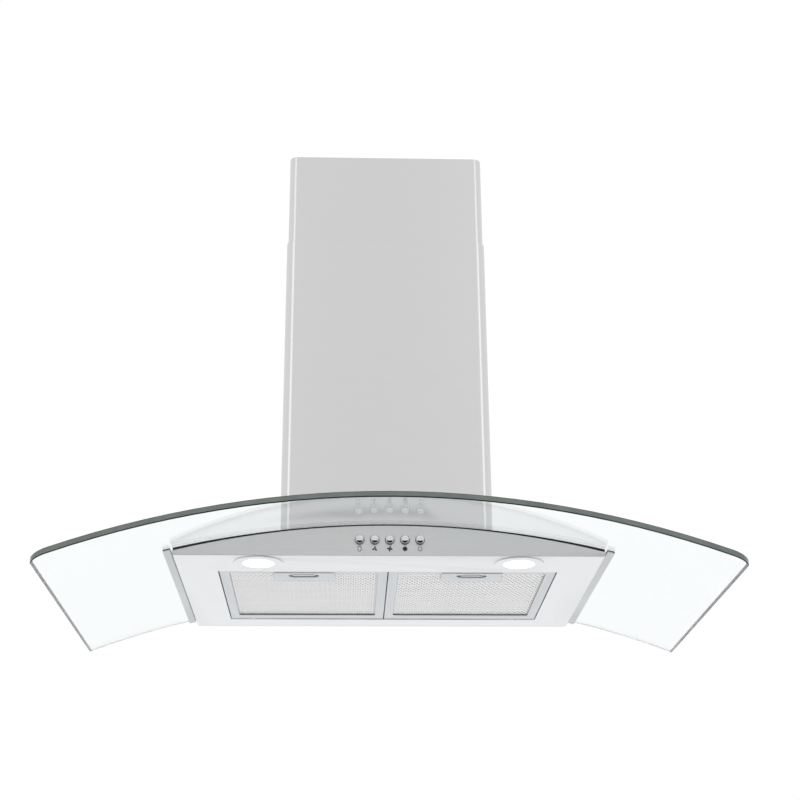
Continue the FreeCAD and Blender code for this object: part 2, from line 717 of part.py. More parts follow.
def make_lamps():
    inner = "collar_radius - sheet_wall"
    for side, sign in (("left", "-"), ("right", "")):
        spot = (f"{sign}lamp_x", "-lamp_y", "0")
        ring = turned(f"ring_{side}", "Z", [
            ("lens_radius + lamp_clear", "-ring_thick"), ("ring_radius", "-ring_thick"),
            ("ring_radius", "0"), ("collar_radius", "0"), ("collar_radius", "collar_height"),
            (inner, "collar_height"), (inner, "0"), ("lens_radius + lamp_clear", "0")])
        node(move(ring, *spot), f"lamp_ring_{side}")
        lens = turned(f"lens_{side}", "Z", [
            ("0", "-ring_thick*0.8"), ("lens_radius", "-ring_thick*0.8"), ("lens_radius", "0"),
            ("lens_radius + lens_rim", "0"), ("lens_radius + lens_rim", "lens_thick"),
            ("0", "lens_thick")])
        node(move(lens, *spot), f"lamp_lens_{side}")
        can_out = f"{inner} - lamp_clear"
        can_in = f"{can_out} - sheet_wall"
        can = turned(f"can_{side}", "Z", [
            (can_out, "can_lift"), (can_out, "lamp_height"), ("0", "lamp_height"),
            ("0", "lamp_height - sheet_wall"), (can_in, "lamp_height - sheet_wall"),
            (can_in, "can_lift")])
        node(move(can, *spot), f"lamp_can_{side}")
        board_z = ("lamp_height/2", "lamp_height/2 + board_thick")
        board = turned(f"board_{side}", "Z", [
            ("0", board_z[0]), (f"{can_in} - lamp_clear", board_z[0]),
            (f"{can_in} - lamp_clear", board_z[1]), ("0", board_z[1])])
        node(move(board, *spot), f"led_board_{side}")


# ---- push-buttons and switch block -------------------------------------------------

def make_buttons():
    tip = "-body_depth - button_proud"
    heel = f"{tip} + button_head"
    for name, x in zip(BUTTON_NAMES, BUTTON_X):
        body = turned(f"push_{name}", "Y", [
            ("0", tip), ("button_radius", tip), ("button_radius", heel), ("stem_radius", heel),
            ("stem_radius", f"{heel} + stem_length"), ("0", f"{heel} + stem_length")])
        front = -size("body_depth") - size("button_proud")
        round_edges(body, "button_round", lambda e: e.BoundBox.YLength < 0.01
                    and abs(e.BoundBox.YMin - front) < 0.01)
        node(move(body, x, "0", "button_height"), f"button_{name}")


def make_switch_block():
    heel = "-body_depth - button_proud + button_head"
    front = f"{heel} + button_travel + press_room"
    y = (front, f"{front} + block_depth")
    z = ("button_height - block_height/2", "button_height + block_height/2")
    half = "block_width/2"
    body = new_body("block")
    pad(body, "XZ", y, lambda s: rectangle(s, (f"-{half}", half), z))

    def bores(s):
        for x in BUTTON_X:
            circle(s, "stem_radius + button_play", (x, "button_height"))
    pocket(body, "XZ", (front, f"{front} + block_depth - block_back"), bores)
    node(body, "switch_block")
    ear = f"{half} + bracket_wall"
    bracket = new_body("holder")
    face_y = (PANEL_BACK, f"{PANEL_BACK} + bracket_wall")
    tall = (f"{z[0]} - bracket_lip", f"{z[1]} + bracket_lip")
    pad(bracket, "XY", tall, lambda s: polygon(s, [
        (f"-({ear})", face_y[0]), (ear, face_y[0]), (ear, f"{front} + block_depth"),
        (half, f"{front} + block_depth"), (half, face_y[1]), (f"-{half}", face_y[1]),
        (f"-{half}", f"{front} + block_depth"), (f"-({ear})", f"{front} + block_depth")]))

    def windows(s):
        for x in BUTTON_X:
            circle(s, "button_radius + button_play + window_clear", (x, "button_height"))
    pocket(bracket, "XZ", face_y, windows)
    node(bracket, "switch_bracket")


# ---- filters and latches -----------------------------------------------------------

FILTER_Y = ("-bay_front + filter_gap", "-bay_rear - filter_rear_gap")
FILTER_Z = ("filter_lift", "filter_lift + filter_thick")
FRONT = FILTER_Y[0]
CENTRE = "bay_width/4 - filter_gap/4"
SLIDE_Z = ("filter_lift + frame_wall + slide_play",
           "filter_lift + frame_wall + slide_play + slide_thick")


def latch_pocket(name, x, grow):
    """The room that the latch slide needs inside the frame and the mesh."""
    half = f"slide_width/2 + {grow}"
    tongue = f"tongue_width/2 + {grow}"
    low = "filter_lift + frame_wall"
    high = f"{SLIDE_Z[1]} + slide_play"
    plate = box(name + "_plate", (f"{x} - ({half})", f"{x} + {half}"),
                (f"{FRONT} + slide_setback - latch_travel - {grow}",
                 f"{FRONT} + slide_setback + slide_depth + {grow}"), (low, high))
    mouth = box(name + "_mouth", (f"{x} - ({tongue})", f"{x} + {tongue}"),
                (f"{FRONT} - 1", f"{FRONT} + slide_setback"), (low, high))
    return fuse(name, plate, mouth)


def make_filter(side):
    sign = "-" if side == "left" else ""
    x = f"{sign}({CENTRE})"
    half = "(bay_width/4 - filter_gap*3/4)"
    xs = (f"{x} - {half}", f"{x} + {half}")
    wall = "frame_wall"
    outer = box(f"frame_{side}_outer", xs, FILTER_Y, FILTER_Z)
    room_x = (f"{xs[0]} + {wall}", f"{xs[1]} - {wall}")
    room_y = (f"{FILTER_Y[0]} + {wall}", f"{FILTER_Y[1]} - {wall}")
    room_z = (f"{FILTER_Z[0]} + {wall}", f"{FILTER_Z[1]} - {wall}")
    room = box(f"frame_{side}_room", room_x, room_y, room_z)
    window = box(f"frame_{side}_window", (f"{xs[0]} + frame_side", f"{xs[1]} - frame_side"),
                 (f"{FILTER_Y[0]} + frame_front", f"{FILTER_Y[1]} - frame_rear"), FILTER_Z)
    latch_room = latch_pocket(f"frame_{side}_latch", x, "slide_play")
    shell = cut(f"frame_{side}_shell", outer, room, window, latch_room)
    tab_z = ("filter_lift + tab_lift", "filter_lift + tab_lift + tab_thick")
    tabs = []
    for i, step in enumerate(("-tab_pitch/2", "tab_pitch/2")):
        tab_x = (f"{x} + {step} - tab_width/2", f"{x} + {step} + tab_width/2")
        tab_y = (f"{FILTER_Y[1]} - {wall}", f"{FILTER_Y[1]} + tab_reach")
        tabs.append(box(f"tab_{side}_{i}", tab_x, tab_y, tab_z))
    node(fuse(f"filter_frame_{side}", shell, *tabs), f"filter_frame_{side}")
    behind = box(f"mesh_{side}_cover", (f"{x} - cover_width/2", f"{x} + cover_width/2"),
                 (f"{FRONT}", f"{FRONT} + cover_setback + cover_depth"),
                 ("0", f"{SLIDE_Z[1]} + slide_play"))
    step = "(filter_thick - 2*frame_wall - mesh_thick)/2"
    layers = []
    for i in range(3):
        low = f"{room_z[0]} + {i}*{step}"
        layer = box(f"mesh_{side}_{i}", room_x, room_y, (low, f"{low} + mesh_thick"))
        layers.append(cut(f"mesh_{side}_{i}_cut", layer, behind) if i < 2 else layer)
    node(group(f"filter_mesh_{side}", *layers), f"filter_mesh_{side}")
    cover = new_body(f"cover_{side}")
    cover_y = (f"{FRONT} + cover_setback", f"{FRONT} + cover_setback + cover_depth")
    cover_z = ("filter_lift - cover_thick", "filter_lift")
    pad(cover, "XY", cover_z, lambda s: rectangle(s, ("-cover_width/2", "cover_width/2"), cover_y))
    slot_y = f"{FRONT} + slot_setback + slot_depth/2"
    slot_pocket(cover, "XY", cover_z, "slot_width", "slot_depth", ("0", slot_y))
    node(move(cover, x), f"latch_cover_{side}")
    plate = box(f"slide_{side}_plate", (f"{x} - slide_width/2", f"{x} + slide_width/2"),
                (f"{FRONT} + slide_setback", f"{FRONT} + slide_setback + slide_depth"), SLIDE_Z)
    tongue = box(f"slide_{side}_tongue", (f"{x} - tongue_width/2", f"{x} + tongue_width/2"),
                 (f"{FRONT} - filter_gap/2", f"{FRONT} + slide_setback"), SLIDE_Z)
    grip_x = (f"{x} - slot_width/2 + grip_inset", f"{x} + slot_width/2 - grip_inset")
    grip_front = f"{FRONT} + grip_setback + latch_travel"
    grip = box(f"slide_{side}_grip", grip_x, (grip_front, f"{grip_front} + grip_thick"),
               ("filter_lift - cover_thick/2", SLIDE_Z[0]))
    node(fuse(f"latch_slide_{side}", plate, tongue, grip), f"latch_slide_{side}")


# ---- blower ------------------------------------------------------------------------

FAN = ("0", "-fan_y", "fan_z")


def make_blower_box():
    x = ("-box_width/2", "box_width/2")
    y = ("-box_front", "-box_rear")
    z = ("box_base", "box_top")
    outer = box("blower_outer", x, y, z)
    room = box("blower_room", (f"{x[0]} + box_wall", f"{x[1]} - box_wall"),
               (f"{y[0]} + box_wall", f"{y[1]} - box_wall"), (f"{z[0]} + box_wall", f"{z[1]} - box_wall"))
    floor_hole = box("blower_floor", ("-cutout_width/2", "cutout_width/2"),
                     ("-cutout_front", "-cutout_rear"), ("box_base", "box_base + 2*box_wall"))
    outlet = rod("blower_outlet", "outlet_radius - outlet_wall", "Z",
                 ("box_top - 2*box_wall", "box_top + box_wall"), ("0", "-outlet_y", "0"))
    rods = bolt_rods("left", "blower", "bolt_shank") + bolt_rods("right", "blower", "bolt_shank")
    node(cut("blower_box", outer, room, floor_hole, outlet, *rods), "blower_box")


def make_volute():
    """A snail housing in two halves, open at the top and at both inlets."""
    half = "scroll_width/2"
    roof = "box_top - box_wall"

    def snail(name, shrink, x):
        drum = rod(name + "_drum", f"scroll_radius - {shrink}", "X", x, FAN)
        throat_y = (f"-throat_front + {shrink}", f"-fan_y + scroll_radius - {shrink}")
        throat = box(name + "_throat", x, throat_y, ("fan_z", roof))
        return fuse(name, drum, throat)

    outside = snail("snail_outside", "0", (f"-{half}", half))
    inside = snail("snail_inside", "scroll_wall", (f"-{half} + scroll_wall", f"{half} - scroll_wall"))
    inlet = rod("snail_inlet", "inlet_radius", "X", (f"-{half}", half), FAN)
    shell = cut("snail_shell", outside, inside, inlet)
    for side, x in (("left", (f"-{half}", "0")), ("right", ("0", half))):
        part = box(f"snail_{side}_half", x, ("-box_front", "0"), ("0", "box_top"))
        node(common(f"volute_{side}", shell, part), f"volute_{side}")


def make_impeller():
    body = new_body("wheel")
    half = "wheel_width/2"
    pad(body, "YZ", ("-blade_thick", "blade_thick"), lambda s: (
        circle(s, "wheel_radius"), circle(s, "shaft_radius")))
    doc.recompute()
    blade = pad(body, "YZ", (f"-{half}", half), lambda s: polygon(s, [
        ("0", "wheel_radius - blade_depth"), ("blade_thick", "wheel_radius - blade_depth"),
        ("blade_thick + blade_depth/2", "wheel_radius - blade_sink"),
        ("blade_depth/2", "wheel_radius - blade_sink")]))
    pattern = body.newObject("PartDesign::PolarPattern", "wheel_blades")
    pattern.Originals = [blade]
    line = [f for f in body.Origin.OriginFeatures if f.Role == "X_Axis"][0]
    pattern.Axis = (line, [""])
    pattern.Angle = 360
    bind(pattern, "Occurrences", "blade_count")
    body.Tip = pattern
    for end in (f"-{half}", half):
        span = (f"{end} - ring_width/2", f"{end} + ring_width/2")
        pad(body, "YZ", span, lambda s: (
            circle(s, "wheel_radius"), circle(s, "wheel_radius - ring_share")))
    node(move(body, *FAN), "impeller")
    axle = rod("axle", "shaft_radius", "X", ("-shaft_inner", "scroll_width/2 + shaft_outer"), FAN)
    node(axle, "rotor_shaft")


def make_motor():
    end = "scroll_width/2"
    bore = "shaft_radius + shaft_fit"
    shoulder = "motor_radius - motor_step"
    body = turned("motor_can", "X", [
        (bore, "motor_start"), ("motor_nose", "motor_start"), (shoulder, "motor_start + motor_step/2"),
        ("motor_radius", "motor_start + motor_step*3/2"), ("motor_radius", f"{end} - motor_step"),
        (shoulder, end), (bore, end)])
    node(move(body, *FAN), "motor")
    ring_edge = "motor_radius - motor_step/2"
    ring = turned("spider_ring", "X", [
        ("spider_bore", end), (ring_edge, end), (ring_edge, f"{end} + arm_thick"),
        ("spider_bore", f"{end} + arm_thick")])
    arms = new_body("spider_arms")
    pad(arms, "YZ", (end, f"{end} + arm_thick"), lambda s: rectangle(
        s, ("-arm_width/2", "arm_width/2"), ("spider_bore + motor_step", "arm_reach")))
    turn = arms.newObject("PartDesign::PolarPattern", "spider_turn")
    turn.Originals = [arms.Tip]
    line = [f for f in arms.Origin.OriginFeatures if f.Role == "X_Axis"][0]
    turn.Axis = (line, [""])
    turn.Angle = 360
    turn.Occurrences = 3
    arms.Tip = turn
    spider = fuse("motor_bracket", ring, arms)
    node(move(spider, *FAN), "motor_bracket")


def make_outlet():
    spot = ("0", "-outlet_y", "box_top")
    inner = "outlet_radius - outlet_wall"
    ledge = f"{inner} - ledge_width"
    collar = turned("collar", "Z", [
        (inner, "0"), ("outlet_radius + outlet_flange", "0"),
        ("outlet_radius + outlet_flange", "outlet_wall"), ("outlet_radius", "outlet_wall"),
        ("outlet_radius", "outlet_height"), (inner, "outlet_height"),
        (inner, "ledge_height"), (ledge, "ledge_height"), (ledge, "ledge_height - outlet_wall"),
        (inner, "ledge_height - outlet_wall")])
    node(move(collar, *spot), "outlet_collar")
    axis_z = "box_top + ledge_height + barrel_radius + flap_rest"
    rest_z = "box_top + ledge_height + flap_rest"
    pins = []
    for side, sign in (("front", "-"), ("rear", "+")):
        axis_y = f"-outlet_y {sign} flap_split"
        span = f"sqrt(({inner})^2 - flap_split^2) - flap_rest"
        pins.append(rod(f"flap_pin_{side}", "pin_radius", "X", (f"-({span})", span), ("0", axis_y, axis_z)))
        disc = rod(f"flap_{side}_disc", f"{inner} - flap_play", "Z",
                   (f"{rest_z}", f"{rest_z} + flap_thick"), ("0", "-outlet_y", "0"))
        edges = [axis_y, f"-outlet_y {sign} outlet_radius"]
        y = tuple(reversed(edges)) if side == "front" else tuple(edges)
        side_block = box(f"flap_{side}_side", ("-outlet_radius", "outlet_radius"), y,
                         ("box_top", "box_top + outlet_height"))
        half_disc = common(f"flap_{side}_half", disc, side_block)
        barrel_half = f"{inner} - flap_play - barrel_step"
        barrel = rod(f"flap_{side}_barrel", "barrel_radius", "X", (f"-({barrel_half})", barrel_half),
                     ("0", axis_y, axis_z))
        bore = rod(f"flap_{side}_bore", "pin_radius + pin_fit", "X", ("-outlet_radius", "outlet_radius"),
                   ("0", axis_y, axis_z))
        node(cut(f"damper_flap_{side}", fuse(f"flap_{side}_blank", half_disc, barrel), bore),
             f"damper_flap_{side}")
    node(group("damper_pins", *pins), "damper_pins")


def make_electrics():
    half = "terminal_width/2"
    y = ("-terminal_front", "-terminal_front + terminal_depth")
    top = "box_top + terminal_height"
    shell = box("terminal_outer", (f"-{half}", half), y, ("box_top", top))
    wall = "terminal_wall"
    room = box("terminal_room", (f"-{half} + {wall}", f"{half} - {wall}"),
               (f"{y[0]} + {wall}", f"{y[1]} - {wall}"), (f"box_top + {wall}", top))
    centre_y = "-terminal_front + terminal_depth/2"
    node(cut("terminal_box", shell, room), "terminal_box")
    spot = ("gland_x", centre_y)
    lid_top = f"{top} + lid_thick"
    lid = new_body("lid")
    pad(lid, "XY", (top, lid_top), lambda s: rectangle(s, (f"-{half}", half), y))
    pocket(lid, "XY", (top, lid_top), lambda s: circle(s, "gland_neck", spot))
    node(lid, "terminal_lid")
    gland = turned("gland", "Z", [
        ("cable_hole", top), ("gland_neck", top), ("gland_neck", lid_top), ("gland_radius", lid_top),
        ("gland_radius", f"{lid_top} + gland_length/2"), ("gland_nose", f"{lid_top} + gland_length"),
        ("cable_hole", f"{lid_top} + gland_length")])
    node(move(gland, *spot), "cable_gland")
    end = f"-{half} - capacitor_gap"
    can = rod("capacitor_can", "capacitor_radius", "X", (f"{end} - capacitor_length", end),
              ("0", centre_y, "box_top + capacitor_radius"))
    node(can, "capacitor")


def make_wall_bracket():
    body = new_body("hook_rail")
    half = "bracket_width/2"
    pad(body, "YZ", (f"-{half}", half), lambda s: polygon(s, [
        ("0", "bracket_low"), ("0", "bracket_high"), ("-box_rear", "bracket_high"),
        ("-box_rear", "bracket_high - bracket_lip_drop"),
        ("-box_rear + bracket_sheet", "bracket_high - bracket_lip_drop"),
        ("-box_rear + bracket_sheet", "bracket_high - bracket_sheet"),
        ("-bracket_sheet", "bracket_high - bracket_sheet"), ("-bracket_sheet", "bracket_low")]))

    def holes(s):
        for x in ("-wall_hole_x/2", "wall_hole_x/2"):
            for z in ("0", "wall_hole_z"):
                circle(s, "wall_hole", (x, f"bracket_low + wall_hole_lift + {z}"))
    pocket(body, "XZ", ("-bracket_sheet", "0"), holes)
    node(body, "wall_bracket")


# ---- chimney covers ------------------------------------------------------------------

def cover(name, insets, z):
    """A three-sided cover with rounded front corners, open towards the wall, and its core."""
    inset = " + ".join(insets) or "0"
    half = f"(chimney_width/2 - ({inset}))"
    front = f"-(chimney_depth - ({inset}))"
    back = "-chimney_wall_gap"
    body = new_body(name)
    pad(body, "XY", z, lambda s: rectangle(s, (f"-{half}", half), (front, back)))
    edge_y = sum(size(part) for part in insets) - size("chimney_depth")
    round_edges(body, f"chimney_corner - ({inset})", lambda e: e.BoundBox.ZLength > 1
                and abs(e.BoundBox.YMin - edge_y) < 0.01 and e.BoundBox.YLength < 0.01)
    core = new_body(name + "_core")
    core_half = f"({half} - chimney_wall)"
    core_front = f"({front} + chimney_wall)"
    pad(core, "XY", z, lambda s: rectangle(s, (f"-{core_half}", core_half), (core_front, "1")))
    core_y = edge_y + size("chimney_wall")
    round_edges(core, f"chimney_corner - ({inset}) - chimney_wall", lambda e: e.BoundBox.ZLength > 1
                and abs(e.BoundBox.YMin - core_y) < 0.01 and e.BoundBox.YLength < 0.01)
    return body, core


def make_chimney():
    body, core = cover("lower_cover", [], ("glass_crown - cover_foot", "lower_top"))
    glass = arch("cover_foot", "glass_radius + glass_thick + chimney_clear",
                 "glass_crown + glass_thick + chimney_clear", ("-chimney_depth - 5", "5"))
    node(cut("lower_chimney", body, core, glass), "lower_chimney")
    body, core = cover("upper_cover", ["chimney_wall", "slide_gap"],
                       ("upper_top - upper_length", "upper_top"))
    screw_z = "upper_top - hanger_drop - hanger_height/2"
    screw_y = "-hanger_ear/2 - screw_step"
    holes = rod("upper_screw_holes", "screw_shank", "X", ("-chimney_width/2", "chimney_width/2"),
                ("0", screw_y, screw_z))
    node(cut("upper_chimney", body, core, holes), "upper_chimney")
    face = "(chimney_width/2 - chimney_wall - slide_gap - chimney_wall)"
    hanger = new_body("hanger")
    z = ("upper_top - hanger_drop - hanger_height", "upper_top - hanger_drop")
    pad(hanger, "XY", z, lambda s: polygon(s, [
        (f"-{face}", "0"), (face, "0"), (face, "-hanger_ear"), (f"{face} - hanger_sheet", "-hanger_ear"),
        (f"{face} - hanger_sheet", "-hanger_sheet"), (f"-{face} + hanger_sheet", "-hanger_sheet"),
        (f"-{face} + hanger_sheet", "-hanger_ear"), (f"-{face}", "-hanger_ear")]))

    def wall_holes(s):
        for x in ("-hanger_hole_x/2", "hanger_hole_x/2"):
            circle(s, "hanger_hole", (x, screw_z))
    pocket(hanger, "XZ", ("-hanger_sheet", "0"), wall_holes)
    ears = rod("hanger_screw_holes", "screw_shank", "X", ("-chimney_width/2", "chimney_width/2"),
               ("0", screw_y, screw_z))
    node(cut("upper_hanger", hanger, ears), "upper_hanger")
    screws = []
    for side in ("left", "right"):
        # countersunk flush, so that the cover still slides inside the lower one
        near, far = f"{face} - screw_reach", f"{face} + chimney_wall"
        span = (f"-({far})", f"-({near})") if side == "left" else (near, far)
        screws.append(rod(f"upper_screw_{side}", "screw_shank", "X", span, ("0", screw_y, screw_z)))
    node(group("upper_screws", *screws), "upper_screws")


def make_cover_clips():
    """Small angles beside the clamp frame that hold the lower cover."""
    clips = []
    y = ("-fan_y - clip_width/2", "-fan_y + clip_width/2")
    low = "box_base - clip_height - sheet_wall"
    for side, sign in (("left", -1), ("right", 1)):
        inner, outer = "box_width/2", "chimney_width/2 - chimney_wall"
        points = [(inner, low), (f"{inner} + clip_sheet", low),
                  (f"{inner} + clip_sheet", f"{low} + clip_height - clip_sheet"),
                  (outer, f"{low} + clip_height - clip_sheet"), (outer, f"{low} + clip_height"),
                  (inner, f"{low} + clip_height")]
        if sign < 0:
            points = [(f"-({x})", z) for x, z in points]
        clip = new_body(f"clip_{side}")
        pad(clip, "XZ", y, lambda s: polygon(s, points))
        clips.append(clip)
    node(group("cover_clips", *clips), "cover_clips")


make_glass()
make_tray()
make_back_wall()
make_front_panel()
make_front_seal()
make_rails_and_gaskets()
make_cross_members()
make_clamp_frame()
make_glass_bolts()
make_bay_supports()
make_lamps()
make_buttons()
make_switch_block()
for filter_side in ("left", "right"):
    make_filter(filter_side)
make_blower_box()
make_volute()
make_impeller()
make_motor()
make_outlet()
make_electrics()
make_wall_bracket()
make_chimney()
make_cover_clips()
doc.recompute()

# ---- checks and export ---------------------------------------------------------------

for thing in doc.Objects:
    if "Invalid" in thing.State or "Error" in thing.State:
        raise RuntimeError(f"{thing.Label} failed: {thing.State}")
for thing in NODES:
    if thing.Shape.isNull() or not thing.Shape.isValid() or not thing.Shape.Solids:
        raise RuntimeError(f"{thing.Label} has no valid solid")

os.makedirs("parts", exist_ok=True)
for thing in NODES:
    thing.Shape.exportStep(f"parts/{thing.Label}.step")
    spread = thing.Shape.BoundBox
    print(f"{thing.Label:22s} solids {len(thing.Shape.Solids):2d}  volume {thing.Shape.Volume:12.1f}  "
          f"X {spread.XMin:8.1f} {spread.XMax:8.1f}  Y {spread.YMin:8.1f} {spread.YMax:8.1f}  "
          f"Z {spread.ZMin:8.1f} {spread.ZMax:8.1f}")
print(len(NODES), "nodes")
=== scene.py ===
import json
import math

import bmesh
import bpy
from bpy.props import (
    FloatProperty, FloatVectorProperty, IntProperty, PointerProperty, StringProperty)
from mathutils import Matrix, Vector

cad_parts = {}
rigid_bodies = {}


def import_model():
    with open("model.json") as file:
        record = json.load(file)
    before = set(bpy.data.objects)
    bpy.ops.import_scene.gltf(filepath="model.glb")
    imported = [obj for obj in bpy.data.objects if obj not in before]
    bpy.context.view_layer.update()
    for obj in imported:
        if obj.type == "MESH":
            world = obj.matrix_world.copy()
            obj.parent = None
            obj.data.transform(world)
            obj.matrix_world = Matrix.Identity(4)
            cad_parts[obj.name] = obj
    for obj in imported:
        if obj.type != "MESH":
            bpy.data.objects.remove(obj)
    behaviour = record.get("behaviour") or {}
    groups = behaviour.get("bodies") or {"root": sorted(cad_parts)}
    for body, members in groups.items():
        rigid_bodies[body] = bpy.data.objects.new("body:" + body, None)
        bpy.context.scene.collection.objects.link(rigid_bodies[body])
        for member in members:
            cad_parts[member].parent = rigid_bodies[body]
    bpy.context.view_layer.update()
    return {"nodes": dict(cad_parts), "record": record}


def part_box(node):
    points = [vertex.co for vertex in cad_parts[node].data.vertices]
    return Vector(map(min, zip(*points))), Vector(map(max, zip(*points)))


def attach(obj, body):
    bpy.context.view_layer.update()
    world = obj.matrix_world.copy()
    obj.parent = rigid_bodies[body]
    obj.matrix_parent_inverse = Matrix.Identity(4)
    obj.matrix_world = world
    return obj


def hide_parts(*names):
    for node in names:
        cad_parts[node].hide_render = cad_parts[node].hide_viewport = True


bl_info = {
    "name": "Glass chimney hood",
    "version": (1, 0, 0),
    "blender": (4, 5, 0),
    "location": "3D View > Sidebar > Hood",
    "description": "Finished pieces, finishes and studio for a wall hood with a bent glass canopy",
    "category": "Object",
}

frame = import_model()
SLOT_OF = {row["node"]: row["material_slot"] for row in frame["record"]["subparts"]}
BODY_OF = {
    node: body
    for body, members in frame["record"]["behaviour"]["bodies"].items()
    for node in members
}
MM = 0.001
GLASS_THICKNESS = 8 * MM
FOOT_GAP = 0.5 * MM        # between the glass and the foot of the lower cover
LATCH_ROOM = 8 * MM        # free of mesh behind a latch
LIP_SLOT = 12.4 * MM       # open between the lowest mesh sheet and the filter's rear edge
MESH_RIM = 1 * MM          # between the mesh and its frame
ICON_REACH = 3.7 * MM      # from a fan icon's hub to the tip of a blade
SOFTBOX_PLACE = (1.4, -2.75, 0.8)
SOFTBOX_SHAPE = (0.9, 3.4)
LIT_POINT = (0, -0.2, 0.25)
DARK_CARDS = (("studio_card_far", (0, -1.28, -0.5), (4.0, 1.1, 1)),
              ("studio_card_near", (0, -0.485, -0.13), (0.5, 0.16, 1)))


# ---- sizes and colours a user would change ------------------------------------------


class HoodSizes(bpy.types.PropertyGroup):
    """Sizes of what the finished pieces add to the plain ones."""

    arris: FloatProperty(name="Arris", description="Chamfer along the edges of the glass",
                         default=1.3 * MM, min=0.0, unit="LENGTH")
    sheet_edge: FloatProperty(name="Sheet edge", default=0.3 * MM, min=0.0, unit="LENGTH",
                              description="Rounding of folded and cut sheet edges")
    glass_radius: FloatProperty(name="Glass radius", default=1.23805, min=0.5, unit="LENGTH",
                                description="Bend radius of the glass underside")
    cover_corner: FloatProperty(name="Cover corner", default=14 * MM, min=0.0, unit="LENGTH",
                                description="Outside radius of the lower cover's corners")
    cover_wall: FloatProperty(name="Cover sheet", default=0.8 * MM, min=0.0, unit="LENGTH",
                              description="Sheet thickness of the chimney covers")
    dome_depth: FloatProperty(name="Dome depth", description="Depth of a push-button's dome",
                              default=4.2 * MM, min=0.0, unit="LENGTH")
    stem_radius: FloatProperty(name="Stem radius", description="Radius of a push-button's stem",
                               default=4 * MM, min=0.0, unit="LENGTH")
    head_length: FloatProperty(name="Head length", description="Length of a push-button's head",
                               default=9 * MM, min=0.0, unit="LENGTH")
    icon_drop: FloatProperty(name="Icon drop", description="Icon centres below the push-buttons",
                             default=12.6 * MM, unit="LENGTH")
    icon_line: FloatProperty(name="Icon line", description="Width of the printed outlines",
                             default=0.7 * MM, min=0.0, unit="LENGTH")
    mesh_pitch: FloatProperty(name="Mesh pitch", default=6.9 * MM, min=0.001, unit="LENGTH",
                              description="Width of one cell of the expanded mesh")
    mesh_length: FloatProperty(name="Mesh length", default=13 * MM, min=0.001, unit="LENGTH",
                               description="Length of one cell of the expanded mesh")
    strand: FloatProperty(name="Strand", default=3.3 * MM, min=0.0, unit="LENGTH",
                          description="Width of the strands of the expanded mesh")
    foil: FloatProperty(name="Foil", description="Thickness of the expanded mesh",
                        default=0.4 * MM, min=0.0, unit="LENGTH")
    layers: IntProperty(name="Layers", default=3, min=1, max=4,
                        description="Sheets of mesh in a filter")


class HoodColours(bpy.types.PropertyGroup):
    """Colours of the finishes, as sRGB hex values."""

    brushed: StringProperty(name="Brushed steel", default="#d2d2d2",
                            description="Panel and chimney covers")
    satin: StringProperty(name="Satin steel", description="Underside sheet", default="#f3f4f6")
    glass: StringProperty(name="Glass", description="Tint of the pane", default="#fbfeff")
    glass_edge: StringProperty(name="Glass edge", default="#69726e",
                               description="Ground edge of the pane")
    rubber: StringProperty(name="Rubber", description="Seals", default="#1b1c1d")
    # the pale side and rear edge colour is painted light for the edges seen end on
    glass_side_painted_light: StringProperty(name="Glass side", default="#f4f7f6",
                               description="Polished side and rear edges of the pane")
    mesh: StringProperty(name="Filter mesh", default="#fcfcfc",
                         description="Expanded mesh of the filters")
    frame: StringProperty(name="Filter frame", default="#d9dcdf",
                          description="Anodised frames of the filters")
    ink: StringProperty(name="Ink", description="Printed icons", default="#2b2b2c")


class HoodStudio(bpy.types.PropertyGroup):
    """Camera, floor and lights."""

    camera_place: FloatVectorProperty(name="Camera", default=(-0.0582, -2.2978, -0.5674),
                                      unit="LENGTH", description="Place of the camera")
    camera_turn: FloatVectorProperty(name="Turn", default=(-0.0381, 0.39105, -0.0070),
                                     unit="ROTATION",
                                     description="Yaw, pitch and roll of the camera")
    lens: FloatProperty(name="Lens", default=67.88,
                        description="Focal length in mm on a 36 mm sensor")
    floor: FloatProperty(name="Floor", description="Height of the floor under the hood",
                         default=-1.6, unit="LENGTH")
    room: FloatProperty(name="Room light", default=1.0,
                        description="Strength of the room's white light")
    softbox: FloatProperty(name="Softboxes", description="Power of each upright softbox in watts",
                           default=6.5)


# ---- small tools ----------------------------------------------------------------------


def linear(code):
    """A colour given as sRGB hex, as linear red, green, blue and alpha."""
    parts = [int(code[i:i + 2], 16) / 255 for i in (1, 3, 5)]
    return tuple(c / 12.92 if c <= 0.04045 else ((c + 0.055) / 1.055) ** 2.4
                 for c in parts) + (1.0,)


def dimmed(colour, share):
    """A linear colour made darker or lighter, never past white."""
    return tuple(min(1.0, c * share) for c in colour[:3]) + (1.0,)


def add_node(tree, kind, sockets=None, stops=(), **settings):
    """Adds a node with its settings. A socket is given a value, or another node's output. A colour
    ramp is given its stops as level and colour."""
    made = tree.nodes.new(kind)
    for name, value in settings.items():
        setattr(made, name, value)
    if stops:
        for element, (level, colour) in zip(made.color_ramp.elements, stops):
            element.position = level
            element.color = colour
    for name, value in (sockets or {}).items():
        if isinstance(value, bpy.types.NodeSocket):
            tree.links.new(value, made.inputs[name])
        else:
            made.inputs[name].default_value = value
    return made


def new_material(name):
    """An empty material with its output, and its tree."""
    material = bpy.data.materials.new(name)
    material.use_nodes = True
    tree = material.node_tree
    tree.nodes.clear()
    return material, tree


def finish_material(tree, shader):
    add_node(tree, "ShaderNodeOutputMaterial", {"Surface": shader.outputs[0]})


def deselect():
    if bpy.context.object and bpy.context.object.mode != "OBJECT":
        bpy.ops.object.mode_set(mode="OBJECT")
    bpy.ops.object.select_all(action="DESELECT")


def activate(piece):
    deselect()
    piece.select_set(True)
    bpy.context.view_layer.objects.active = piece


